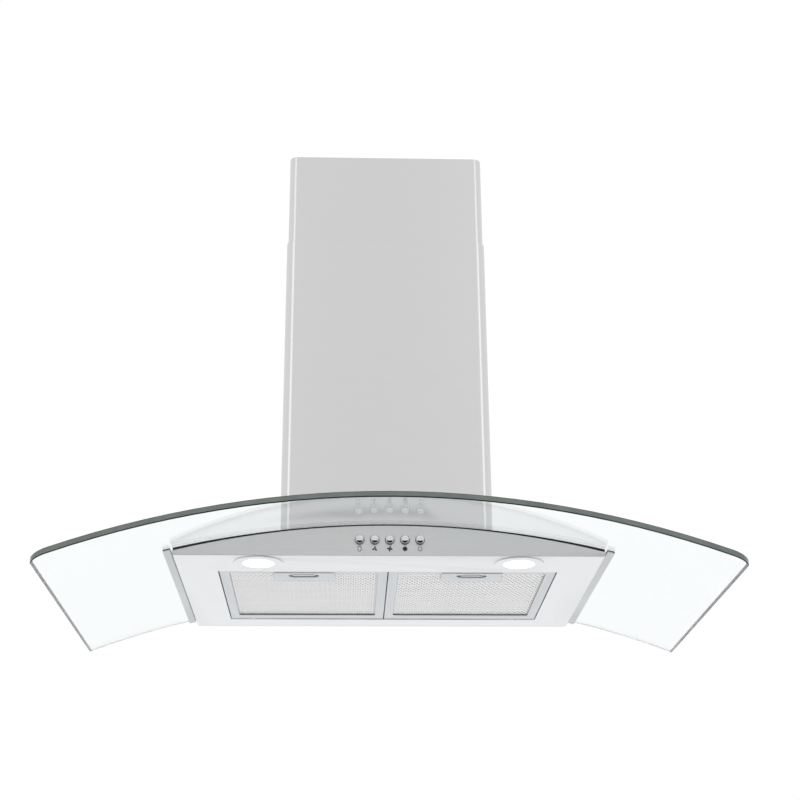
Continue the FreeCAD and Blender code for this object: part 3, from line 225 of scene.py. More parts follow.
def edit(piece, mode="FACE"):
    """Opens a piece in edit mode with nothing selected."""
    activate(piece)
    bpy.ops.object.mode_set(mode="EDIT")
    bpy.ops.mesh.select_mode(type=mode)
    bpy.ops.mesh.select_all(action="DESELECT")


def choose(piece, kind, test):
    """Selects in edit mode the faces, edges or vertices that pass a test."""
    mesh = bmesh.from_edit_mesh(piece.data)
    for part in getattr(mesh, kind):
        part.select_set(bool(test(part)))
    mesh.select_flush_mode()
    bmesh.update_edit_mesh(piece.data)


def added(name):
    """The primitive just added, with its place in its mesh."""
    piece = bpy.context.object
    piece.name = name
    piece.data.name = name
    bpy.ops.object.transform_apply(location=True, rotation=True, scale=True)
    return piece


def applied(piece, kind, **settings):
    """Adds a modifier and applies it."""
    activate(piece)
    modifier = piece.modifiers.new(kind.title(), kind)
    for name, value in settings.items():
        setattr(modifier, name, value)
    bpy.ops.object.modifier_apply(modifier=modifier.name)


def settle(piece, body, materials, nodes=(), smooth=30.0):
    """Gives a finished piece its shading, finish and body, and hides what it stands for."""
    activate(piece)
    bpy.ops.object.transform_apply(location=True, rotation=True, scale=True)
    bpy.ops.object.shade_smooth_by_angle(angle=math.radians(smooth))
    if materials is not None:
        piece.data.materials.clear()
        for material in materials:
            piece.data.materials.append(material)
    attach(piece, body)
    if nodes:
        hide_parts(*nodes)
    deselect()
    return piece


def merged_copy(node, name, whole=True):
    """A copy of a plain node, its triangles joined up and, if asked, its flat faces made whole."""
    deselect()
    piece = bpy.data.objects.new(name, frame["nodes"][node].data.copy())
    piece.data.name = name
    bpy.context.scene.collection.objects.link(piece)
    activate(piece)
    bpy.ops.mesh.customdata_custom_splitnormals_clear()
    edit(piece, "VERT")
    bpy.ops.mesh.select_all(action="SELECT")
    bpy.ops.mesh.remove_doubles(threshold=0.004 * MM)
    if whole:
        bpy.ops.mesh.dissolve_limited(angle_limit=math.radians(0.4))
    bpy.ops.object.mode_set(mode="OBJECT")
    return piece


def softened(node, width, segments=2, angle=35.0, smooth=32.0, whole=True, material=None):
    """A node with its sharp edges rounded, in the node's own finish unless another is given."""
    piece = merged_copy(node, node + "_softened", whole)
    applied(piece, "BEVEL", width=width, segments=segments, limit_method="ANGLE",
            angle_limit=math.radians(angle), use_clamp_overlap=False, miter_outer="MITER_ARC")
    return settle(piece, BODY_OF[node], [material or finish(SLOT_OF[node])],
                  [node], smooth)


# ---- finishes ----------------------------------------------------------------------------


def steel_grain(tree, along, pitch):
    """Streaks of a brushed sheet: long along one axis, fine across it."""
    place = add_node(tree, "ShaderNodeTexCoord")
    scale = [1.0 / pitch] * 3
    scale["XYZ".index(along)] = 1.0 / (pitch * 90)
    turned = add_node(tree, "ShaderNodeMapping", {
        "Vector": place.outputs["Object"], "Scale": scale})
    return add_node(tree, "ShaderNodeTexNoise", {
        "Vector": turned.outputs["Vector"], "Scale": 1.0, "Detail": 2.0, "Roughness": 0.5})


def metal(name, colour, rough, pitch, along, contrast=0.03, bump=0.03, flow=0.0):
    """A sheet metal whose streaks change its colour, gloss and relief a little. With flow, the
    level brushing spreads a reflection up and down and keeps it narrow from side to side."""
    material, tree = new_material(name)
    grain = steel_grain(tree, along, pitch)
    base = linear(colour)
    tone = add_node(tree, "ShaderNodeValToRGB", {"Fac": grain.outputs["Fac"]}, stops=(
        (0.3, dimmed(base, 1 - contrast)), (0.7, dimmed(base, 1 + contrast))))
    gloss = add_node(tree, "ShaderNodeMapRange", {
        "Value": grain.outputs["Fac"], "From Min": 0.3, "From Max": 0.7,
        "To Min": rough * (1 - 3 * contrast), "To Max": rough * (1 + 3 * contrast)})
    relief = add_node(tree, "ShaderNodeBump", {
        "Height": grain.outputs["Fac"], "Strength": bump, "Distance": 0.0002})
    shader = add_node(tree, "ShaderNodeBsdfPrincipled", {
        "Base Color": tone.outputs["Color"], "Metallic": 1.0,
        "Roughness": gloss.outputs["Result"], "Normal": relief.outputs["Normal"],
        "Anisotropic": flow, "Anisotropic Rotation": 0.25 if flow else 0.0})
    finish_material(tree, shader)
    return material


def brushed_stainless():
    # 430 stainless, belt-brushed from side to side: soft grey with faint level streaks
    return metal("stainless_430_brushed", colours().brushed, 0.3, 0.45 * MM, "X", 0.016, 0.006, 0.5)


def satin_stainless():
    # the same sheet with a fine satin finish: near white, the streaks almost gone
    return metal("stainless_430_satin", colours().satin, 0.42, 1.6 * MM, "X", 0.012, 0.02)


def rail_aluminium():
    # anodised aluminium strip, drawn lengthwise: even light grey with lines from front to back
    return metal("aluminium_anodised", "#d0d3d5", 0.33, 0.9 * MM, "Y", 0.03)


def filter_aluminium():
    # rolled aluminium, bright, with soft rolling streaks from side to side
    return metal("aluminium_rolled", colours().mesh, 0.45, 1.3 * MM, "X", 0.03, 0.03)


def frame_aluminium():
    # anodised aluminium strip of the filter frames: a cool grey, satin, drawn along its length
    return metal("aluminium_anodised_frame", colours().frame, 0.4, 1.1 * MM, "Y", 0.02, 0.02)


def lamp_shell():
    # pressed aluminium can, spun bright inside
    return metal("aluminium_pressed", "#b9bbbd", 0.3, 0.7 * MM, "Z", 0.04)


def zinc_fastener():
    # zinc-plated steel, turned: slightly yellow-grey with fine rings
    return metal("steel_zinc_plated", "#c4c3b8", 0.3, 0.5 * MM, "Z", 0.05)


def galvanised_sheet():
    # hot-dip galvanised steel: pale blue-grey with crystals (spangle) of about 8 mm
    material, tree = new_material("steel_galvanised")
    place = add_node(tree, "ShaderNodeTexCoord")
    crystals = add_node(tree, "ShaderNodeTexVoronoi", {
        "Vector": place.outputs["Object"], "Scale": 1 / (8 * MM), "Randomness": 1.0})
    tone = add_node(tree, "ShaderNodeValToRGB", {"Fac": crystals.outputs["Color"]}, stops=(
        (0.0, linear("#a9aeb2")), (1.0, linear("#c9ced1"))))
    gloss = add_node(tree, "ShaderNodeMapRange", {
        "Value": crystals.outputs["Distance"], "To Min": 0.38, "To Max": 0.55})
    shader = add_node(tree, "ShaderNodeBsdfPrincipled", {
        "Base Color": tone.outputs["Color"], "Metallic": 0.85,
        "Roughness": gloss.outputs["Result"]})
    finish_material(tree, shader)
    return material


def chrome_plate():
    # chrome on moulded ABS: mirror bright, with a haze of tiny pits
    material, tree = new_material("chrome_plated_abs")
    place = add_node(tree, "ShaderNodeTexCoord")
    pits = add_node(tree, "ShaderNodeTexNoise", {
        "Vector": place.outputs["Object"], "Scale": 1 / (0.8 * MM), "Detail": 2.0})
    gloss = add_node(tree, "ShaderNodeMapRange", {
        "Value": pits.outputs["Fac"], "To Min": 0.05, "To Max": 0.11})
    shader = add_node(tree, "ShaderNodeBsdfPrincipled", {
        "Base Color": linear("#dcdddf"), "Metallic": 1.0, "Roughness": gloss.outputs["Result"]})
    finish_material(tree, shader)
    return material


def moulded(name, colour, rough, grit, depth=0.1):
    """A moulded surface: spark-eroded grit that breaks up the gloss."""
    material, tree = new_material(name)
    place = add_node(tree, "ShaderNodeTexCoord")
    skin = add_node(tree, "ShaderNodeTexNoise", {
        "Vector": place.outputs["Object"], "Scale": 1 / grit, "Detail": 3.0, "Roughness": 0.6})
    base = linear(colour)
    tone = add_node(tree, "ShaderNodeValToRGB", {"Fac": skin.outputs["Fac"]}, stops=(
        (0.25, dimmed(base, 0.9)), (0.75, dimmed(base, 1.08))))
    gloss = add_node(tree, "ShaderNodeMapRange", {
        "Value": skin.outputs["Fac"], "To Min": rough - 0.08, "To Max": rough + 0.08})
    relief = add_node(tree, "ShaderNodeBump", {
        "Height": skin.outputs["Fac"], "Strength": depth, "Distance": 0.0001})
    shader = add_node(tree, "ShaderNodeBsdfPrincipled", {
        "Base Color": tone.outputs["Color"], "Roughness": gloss.outputs["Result"],
        "Normal": relief.outputs["Normal"]})
    finish_material(tree, shader)
    return material


def rubber():
    # extruded EPDM: near black and matt, with a fine bloom
    return moulded("rubber_epdm", colours().rubber, 0.62, 0.6 * MM)


def black_abs():
    # moulded ABS, black with a light satin grain
    return moulded("abs_black", "#26272a", 0.45, 0.7 * MM)


def grey_polypropylene():
    # moulded polypropylene, mid grey and a little waxy
    return moulded("polypropylene_grey", "#7d7f82", 0.5, 0.9 * MM)


def white_nylon():
    # moulded nylon, off-white
    return moulded("nylon_white", "#e4e3dd", 0.5, 0.9 * MM)


def circuit_board():
    # white solder mask over woven glass: even, slightly glossy
    return moulded("solder_mask_white", "#e9ebe9", 0.35, 1.5 * MM, 0.03)


def motor_lacquer():
    # dipped black lacquer over laminated steel
    return moulded("lacquer_black", "#35373a", 0.32, 2.0 * MM, 0.2)


def printed_ink():
    # screen-printed ink, flat and dark grey
    return moulded("ink_dark", colours().ink, 0.6, 0.5 * MM, 0.02)


def clear_glass():
    # tempered soda-lime glass: clear, with a hint of green and the faint waves of tempering
    material, tree = new_material("glass_tempered")
    place = add_node(tree, "ShaderNodeTexCoord")
    waves = add_node(tree, "ShaderNodeTexNoise", {
        "Vector": place.outputs["Object"], "Scale": 1 / (140 * MM), "Detail": 1.0})
    relief = add_node(tree, "ShaderNodeBump", {
        "Height": waves.outputs["Fac"], "Strength": 0.05, "Distance": 0.001})
    shader = add_node(tree, "ShaderNodeBsdfPrincipled", {
        "Base Color": linear(colours().glass), "Roughness": 0.0, "IOR": 1.5,
        "Transmission Weight": 1.0, "Normal": relief.outputs["Normal"]})
    finish_material(tree, shader)
    return material


def ground_edge(name, colour, rough):
    """An edge of the pane, ground and seen through the length of the glass."""
    material, tree = new_material(name)
    place = add_node(tree, "ShaderNodeTexCoord")
    depth = add_node(tree, "ShaderNodeTexNoise", {
        "Vector": place.outputs["Object"], "Scale": 1 / (25 * MM), "Detail": 3.0})
    base = linear(colour)
    tone = add_node(tree, "ShaderNodeValToRGB", {"Fac": depth.outputs["Fac"]}, stops=(
        (0.3, dimmed(base, 0.85)), (0.7, dimmed(base, 1.15))))
    shader = add_node(tree, "ShaderNodeBsdfPrincipled", {
        "Base Color": tone.outputs["Color"], "Roughness": rough, "IOR": 1.5,
        "Specular IOR Level": 0.5})
    finish_material(tree, shader)
    return material


def glass_edge():
    # the flat of the edge, ground satin: deep green-grey
    return ground_edge("glass_edge_ground", colours().glass_edge, 0.25)


def glass_arris_painted_shade():
    # the chamfers of the front edge: painted shade, the edge colour made darker still because they
    # look into the pane
    return ground_edge("glass_edge_arris", "#262d2a", 0.2)


def glass_side_painted_light():
    # the side and rear edges, polished and seen end on: painted light, a pale grey line for how
    # bright they look end on
    material, tree = new_material("glass_edge_polished")
    place = add_node(tree, "ShaderNodeTexCoord")
    depth = add_node(tree, "ShaderNodeTexNoise", {
        "Vector": place.outputs["Object"], "Scale": 1 / (60 * MM), "Detail": 1.0})
    gloss = add_node(tree, "ShaderNodeMapRange", {
        "Value": depth.outputs["Fac"], "To Min": 0.04, "To Max": 0.16})
    shader = add_node(tree, "ShaderNodeBsdfPrincipled", {
        "Base Color": linear(colours().glass_side_painted_light), "Roughness": gloss.outputs["Result"],
        "IOR": 1.5, "Transmission Weight": 0.5})
    finish_material(tree, shader)
    return material


def lit_lens():
    # frosted acrylic in front of a lit board: white all over, softer at the rim
    material, tree = new_material("acrylic_frosted_lit")
    place = add_node(tree, "ShaderNodeTexCoord")
    frost = add_node(tree, "ShaderNodeTexNoise", {
        "Vector": place.outputs["Object"], "Scale": 1 / (1.5 * MM), "Detail": 2.0})
    gloss = add_node(tree, "ShaderNodeMapRange", {
        "Value": frost.outputs["Fac"], "To Min": 0.35, "To Max": 0.5})
    shader = add_node(tree, "ShaderNodeBsdfPrincipled", {
        "Base Color": linear("#fbfbfb"), "Roughness": gloss.outputs["Result"],
        "Emission Color": linear("#ffffff"), "Emission Strength": 1.1})
    finish_material(tree, shader)
    return material


MAKERS = {
    "stainless_brushed": brushed_stainless, "stainless_satin": satin_stainless,
    "canopy_glass": clear_glass, "black_rubber": rubber, "rail_aluminium": rail_aluminium,
    "filter_aluminium": filter_aluminium, "galvanised": galvanised_sheet,
    "chrome_trim": chrome_plate, "fastener_zinc": zinc_fastener, "lamp_lens": lit_lens,
    "lamp_shell": lamp_shell, "circuit_board": circuit_board, "black_plastic": black_abs,
    "grey_plastic": grey_polypropylene, "white_plastic": white_nylon,
    "motor_paint": motor_lacquer,
}
MADE = {}


def finish(slot):
    """The finish of a material slot, made once."""
    if slot not in MADE:
        MADE[slot] = MAKERS[slot]()
    return MADE[slot]


def sizes():
    return bpy.context.scene.hood_sizes


def colours():
    return bpy.context.scene.hood_colours


# ---- the pieces --------------------------------------------------------------------------


class HOOD_OT_finishes(bpy.types.Operator):
    """Gives every plain node the finish of its slot"""

    bl_idname = "hood.finishes"
    bl_label = "Finishes"

    def execute(self, context):
        for name, thing in frame["nodes"].items():
            thing.data.materials.clear()
            thing.data.materials.append(finish(SLOT_OF[name]))
        return {"FINISHED"}


class HOOD_OT_canopy(bpy.types.Operator):
    """The bent glass pane with its chamfered, ground edges"""

    bl_idname = "hood.canopy"
    bl_label = "Glass canopy"

    def execute(self, context):
        pane = merged_copy("glass_canopy", "canopy_pane")
        applied(pane, "BEVEL", width=sizes().arris, segments=1, limit_method="ANGLE",
                angle_limit=math.radians(60), use_clamp_overlap=False)
        pane.data.materials.clear()
        for material in (finish("canopy_glass"), glass_edge(), glass_arris_painted_shade(), glass_side_painted_light()):
            pane.data.materials.append(material)
        # front flats take the ground edge colour, front chamfers a darker painted shade, side and
        # rear edges a pale painted light
        for face in pane.data.polygons:
            rise = abs(face.normal.z)
            if rise > 0.9:
                face.material_index = 0
            elif face.normal.y > -0.25 * (1 - rise):
                face.material_index = 3
            else:
                face.material_index = 1 if rise < 0.35 else 2
        settle(pane, "hood", None, ["glass_canopy"], 20)
        return {"FINISHED"}


class HOOD_OT_body(bpy.types.Operator):
    """Tray, back wall, rails, seal and gaskets with rounded sheet edges"""

    bl_idname = "hood.body"
    bl_label = "Hood body"

    def execute(self, context):
        edge = sizes().sheet_edge
        for node in ("hood_body", "back_wall", "side_rail_left", "side_rail_right",
                     "bay_angles", "centre_bar", "cross_member_left", "cross_member_right"):
            softened(node, edge)
        softened("front_seal", 0.3 * MM)
        softened("clamp_frame", 0.8 * MM)
        softened("wall_bracket", edge)
        return {"FINISHED"}


class HOOD_OT_panel(bpy.types.Operator):
    """The brushed front panel and the icons printed under the push-buttons"""

    bl_idname = "hood.panel"
    bl_label = "Front panel"

    def execute(self, context):
        softened("front_panel", sizes().sheet_edge)
        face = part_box("front_panel")[0].y
        marks = []
        for name, blades in (("low", 3), ("medium", 4), ("high", 8)):
            marks += self.fan(self.icon_spot(name, face), blades)
        for name, width, height in (("lamp", 5.2, 7.8), ("stop", 5.8, 6.2)):
            marks.append(self.ring(self.icon_spot(name, face), width * MM, height * MM))
        deselect()
        for mark in marks:
            mark.select_set(True)
        icons = marks[0]
        context.view_layer.objects.active = icons
        bpy.ops.object.join()
        icons.name = "panel_icons"
        icons.data.name = "panel_icons"
        applied(icons, "SOLIDIFY", thickness=0.15 * MM, offset=1.0)
        edit(icons)
        bpy.ops.mesh.select_all(action="SELECT")
        bpy.ops.transform.translate(value=(0, 0.04 * MM, 0))
        bpy.ops.object.mode_set(mode="OBJECT")
        settle(icons, "hood", [printed_ink()])
        return {"FINISHED"}

    def icon_spot(self, name, face):
        """The place on the panel's face under a push-button."""
        low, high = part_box("button_" + name)
        centre = (low + high) / 2
        return Vector((centre.x, face, centre.z - sizes().icon_drop))

    def ring(self, spot, width, height):
        """A printed oval outline."""
        bpy.ops.mesh.primitive_circle_add(vertices=32, radius=1.0, fill_type="NGON", location=spot,
                                          rotation=(math.pi / 2, 0, 0))
        mark = added("icon_ring")
        edit(mark)
        bpy.ops.mesh.select_all(action="SELECT")
        bpy.ops.transform.resize(value=(width / 2, 1, height / 2), center_override=spot)
        bpy.ops.mesh.inset(thickness=sizes().icon_line)
        bpy.ops.mesh.delete(type="FACE")
        bpy.ops.object.mode_set(mode="OBJECT")
        return mark

    def fan(self, spot, blades):
        """A printed fan: leaf-shaped blades round a hub."""
        reach = ICON_REACH
        width = reach * (0.3 if blades < 6 else 0.22)
        heart = spot + Vector((reach * 0.1, 0, reach * 0.55))
        parts = []
        for i in range(blades):
            bpy.ops.mesh.primitive_circle_add(vertices=16, radius=1.0, fill_type="NGON",
                                              rotation=(math.pi / 2, 0, 0), location=heart)
            leaf = added("icon_leaf")
            edit(leaf)
            bpy.ops.mesh.select_all(action="SELECT")
            bpy.ops.transform.resize(value=(width, 1, reach * 0.45), center_override=heart)
            bpy.ops.transform.rotate(value=2 * math.pi * i / blades, orient_axis="Y",
                                     center_override=spot)
            bpy.ops.object.mode_set(mode="OBJECT")
            parts.append(leaf)
        bpy.ops.mesh.primitive_circle_add(vertices=12, radius=reach * 0.16, fill_type="NGON",
                                          rotation=(math.pi / 2, 0, 0),
                                          location=spot + Vector((0, -0.01 * MM, 0)))
        parts.append(added("icon_hub"))
        return parts


class HOOD_OT_buttons(bpy.types.Operator):
    """Five domed, chromed push-buttons on their stems"""

    bl_idname = "hood.buttons"
    bl_label = "Push-buttons"

    def execute(self, context):
        for name in ("lamp", "low", "medium", "high", "stop"):
            self.push_button(name)
        return {"FINISHED"}

    def push_button(self, name):
        node = "button_" + name
        low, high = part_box(node)
        radius = (high.x - low.x) / 2
        depth = sizes().dome_depth
        centre = Vector(((low.x + high.x) / 2, low.y + depth, (low.z + high.z) / 2))
        deselect()
        bpy.ops.mesh.primitive_uv_sphere_add(segments=48, ring_count=24, radius=radius,
                                             location=centre, rotation=(math.pi / 2, 0, 0))
        dome = added("push_" + name)
        edit(dome, "VERT")
        bpy.ops.mesh.select_all(action="SELECT")
        bpy.ops.transform.resize(value=(1, depth / radius, 1), center_override=centre)
        bpy.ops.mesh.bisect(plane_co=centre, plane_no=(0, 1, 0), clear_outer=True, use_fill=False)
        bpy.ops.mesh.select_mode(type="EDGE")
        heel = low.y + sizes().head_length
        self.extrude_rim(dome, heel - centre.y)
        self.extrude_rim(dome, 0.0)
        share = sizes().stem_radius / radius
        bpy.ops.transform.resize(value=(share, 1, share), center_override=centre)
        self.extrude_rim(dome, high.y - heel)
        choose(dome, "edges", lambda e: len(e.link_faces) == 1)
        bpy.ops.mesh.edge_face_add()
        bpy.ops.mesh.select_all(action="SELECT")
        bpy.ops.mesh.remove_doubles(threshold=0.001 * MM)
        bpy.ops.mesh.normals_make_consistent(inside=False)
        bpy.ops.object.mode_set(mode="OBJECT")
        applied(dome, "BEVEL", width=0.25 * MM, segments=2, limit_method="ANGLE",
                angle_limit=math.radians(50), use_clamp_overlap=False)
        settle(dome, "push_" + name, [finish("chrome_trim")], [node], 40)

    def extrude_rim(self, dome, way):
        choose(dome, "edges", lambda e: len(e.link_faces) == 1)
        bpy.ops.mesh.extrude_region_move(TRANSFORM_OT_translate={"value": (0, way, 0)})


class HOOD_OT_lamps(bpy.types.Operator):
    """Lamp rings and their lit lenses"""

    bl_idname = "hood.lamps"
    bl_label = "Lamps"

    def execute(self, context):
        for side in ("left", "right"):
            softened(f"lamp_ring_{side}", 0.35 * MM)
            softened(f"lamp_lens_{side}", 0.25 * MM)
            softened(f"lamp_can_{side}", 0.4 * MM)
        return {"FINISHED"}


class HOOD_OT_filters(bpy.types.Operator):
    """Filter frames, their layers of expanded mesh, and the latches"""

    bl_idname = "hood.filters"
    bl_label = "Grease filters"

    def execute(self, context):
        anodised = frame_aluminium()
        for side in ("left", "right"):
            softened(f"filter_frame_{side}", 0.25 * MM, whole=False, material=anodised)
            softened(f"latch_cover_{side}", 0.3 * MM, material=anodised)
            # the slides take the near-white satin steel so that the shaded slot over them reads
            # light: painted light in a recess
            softened(f"latch_slide_{side}", 0.3 * MM, material=finish("stainless_satin"))
            self.mesh_pack(side)
        return {"FINISHED"}

    def mesh_pack(self, side):
        low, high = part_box(f"filter_mesh_{side}")
        count = sizes().layers
        sheets = []
        for i in range(count):
            share = i / max(1, count - 1)
            z = low.z + 1.3 * MM + (high.z - low.z - 2.1 * MM) * share
            # the lowest sheet ends at the rear lip, which leaves a dark slot above it
            rear = high.y - (LIP_SLOT if i == 0 else MESH_RIM)
            sheets.append(self.expanded_sheet(low, Vector((high.x, rear, high.z)), z, i))
            if i == 0:
                self.clear_latch(sheets[0], f"latch_slide_{side}")
        deselect()
        for sheet in sheets:
            sheet.select_set(True)
        pack = sheets[0]
        bpy.context.view_layer.objects.active = pack
        bpy.ops.object.join()
        pack.name = f"mesh_pack_{side}"
        pack.data.name = pack.name
        settle(pack, f"filter_{side}", [finish("filter_aluminium")],
               [f"filter_mesh_{side}"], 20)

    def expanded_sheet(self, low, high, z, index):
        """Zigzag strands side by side that touch at their knees, as expanded mesh does."""
        pitch = sizes().mesh_pitch
        inset = pitch / 2 + 0.6 * MM
        start, end = low.x + inset, high.x - inset
        front = low.y + MESH_RIM
        rows = 2 * round((high.y - front) / sizes().mesh_length)
        step = (high.y - front) / rows
        strands = []
        for turn in (0, 1):
            deselect()
            centre = (start + turn * pitch / 2, (front + high.y) / 2, z)
            bpy.ops.mesh.primitive_grid_add(x_subdivisions=1, y_subdivisions=rows, size=1.0,
                                            location=centre)
            strand = added("strand")
            edit(strand, "VERT")
            bpy.ops.mesh.select_all(action="SELECT")
            bpy.ops.transform.resize(value=(sizes().strand, high.y - front, 1),
                                     center_override=centre)
            for parity in (0, 1):
                choose(strand, "verts",
                       lambda v: (round((v.co.y - front) / step) + turn + index) % 2 == parity)
                side = pitch / 4 if parity else -pitch / 4
                bpy.ops.transform.translate(value=(side, 0, 0))
            # each strand stands at a slant, the way slit and pulled sheet does
            choose(strand, "verts", lambda v: True)
            bpy.ops.transform.rotate(value=math.radians(6 if turn else -6), orient_axis="Y",
                                     center_override=centre)
            bpy.ops.object.mode_set(mode="OBJECT")
            applied(strand, "SOLIDIFY", thickness=sizes().foil, offset=0.0)
            count = 1 + math.floor((end - start - turn * pitch / 2) / pitch)
            applied(strand, "ARRAY", count=count, use_relative_offset=False,
                    use_constant_offset=True, constant_offset_displace=(pitch, 0, 0))
            strands.append(strand)
        deselect()
        for strand in strands:
            strand.select_set(True)
        bpy.context.view_layer.objects.active = strands[0]
        bpy.ops.object.join()
        return strands[0]

    def clear_latch(self, sheet, slide):
        """Cuts the strands of the lowest sheet short behind the latch."""
        low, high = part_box(slide)
        edit(sheet)
        reach = sizes().strand
        choose(sheet, "faces",
               lambda f: low.x - reach < f.calc_center_median().x < high.x + reach)
        bpy.ops.mesh.select_linked()
        bpy.ops.mesh.bisect(plane_co=(0, high.y + LATCH_ROOM, 0), plane_no=(0, -1, 0),
                            clear_outer=True, use_fill=True)
        bpy.ops.object.mode_set(mode="OBJECT")


class HOOD_OT_chimney(bpy.types.Operator):
    """The two brushed chimney covers with their rounded corners"""

    bl_idname = "hood.chimney"
    bl_label = "Chimney covers"

    def execute(self, context):
        wall = sizes().cover_wall
        lower = self.cover("lower_chimney", "cover_lower", sizes().cover_corner)
        glass_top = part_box("glass_canopy")[1].z
        radius = sizes().glass_radius + GLASS_THICKNESS + FOOT_GAP
        deselect()
        bpy.ops.mesh.primitive_cylinder_add(
            vertices=720, radius=radius, depth=1.2, rotation=(math.pi / 2, 0, 0),
            location=(0, 0, glass_top + FOOT_GAP - radius))
        cutter = added("glass_curve")
        activate(lower)
        applied(lower, "BOOLEAN", operation="DIFFERENCE", object=cutter, solver="EXACT")
        bpy.data.objects.remove(cutter)
        self.ease(lower, "lower_chimney", "hood")
        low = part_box("lower_chimney")[0]
        inner = sizes().cover_corner - (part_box("upper_chimney")[0].x - low.x)
        upper = self.cover("upper_chimney", "cover_upper", inner)
        self.ease(upper, "upper_chimney", "upper_cover")
        softened("upper_hanger", wall / 3)
        return {"FINISHED"}

    def cover(self, node, name, corner):
        """A sheet folded round three sides, open towards the wall."""
        low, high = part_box(node)
        deselect()
        bpy.ops.mesh.primitive_plane_add(size=1.0, location=((low.x + high.x) / 2,
                                                             (low.y + high.y) / 2, low.z))
        sheet = added(name)
        edit(sheet, "EDGE")
        bpy.ops.mesh.select_all(action="SELECT")
        bpy.ops.transform.resize(value=(high.x - low.x, high.y - low.y, 1))
        bpy.ops.mesh.delete(type="ONLY_FACE")
        choose(sheet, "edges", lambda e: all(v.co.y > high.y - MM for v in e.verts))
        bpy.ops.mesh.delete(type="EDGE")
        bpy.ops.mesh.select_mode(type="VERT")
        choose(sheet, "verts", lambda v: v.co.y < low.y + MM)
        bpy.ops.mesh.bevel(offset=corner, segments=16, affect="VERTICES")
        bpy.ops.mesh.select_mode(type="EDGE")
        bpy.ops.mesh.select_all(action="SELECT")
        bpy.ops.mesh.extrude_region_move(
            TRANSFORM_OT_translate={"value": (0, 0, high.z - low.z)})
        bpy.ops.mesh.select_all(action="SELECT")
        bpy.ops.mesh.normals_make_consistent(inside=False)
        mesh = bmesh.from_edit_mesh(sheet.data)
        mesh.faces.ensure_lookup_table()
        front = min(mesh.faces, key=lambda f: f.calc_center_median().y)
        if front.normal.y > 0:
            bpy.ops.mesh.flip_normals()
        bpy.ops.object.mode_set(mode="OBJECT")
        applied(sheet, "SOLIDIFY", thickness=sizes().cover_wall, offset=-1.0, use_even_offset=True)
        return sheet

    def ease(self, sheet, node, body):
        applied(sheet, "BEVEL", width=0.15 * MM, segments=1, limit_method="ANGLE",
                angle_limit=math.radians(50), use_clamp_overlap=False)
        settle(sheet, body, [finish(SLOT_OF[node])], [node], 30)


class HOOD_OT_blower(bpy.types.Operator):
    """Blower box, outlet and electrics with eased edges"""

    bl_idname = "hood.blower"
    bl_label = "Blower"

    def execute(self, context):
        for node, width in (("blower_box", 0.25), ("outlet_collar", 0.35),
                            ("damper_flap_front", 0.25), ("damper_flap_rear", 0.25),
                            ("terminal_box", 0.6), ("terminal_lid", 0.8), ("cable_gland", 0.5),
                            ("capacitor", 1.2), ("motor", 1.0), ("motor_bracket", 0.3),
                            ("switch_block", 0.6)):
            softened(node, width * MM)
        return {"FINISHED"}


# ---- studio --------------------------------------------------------------------------------


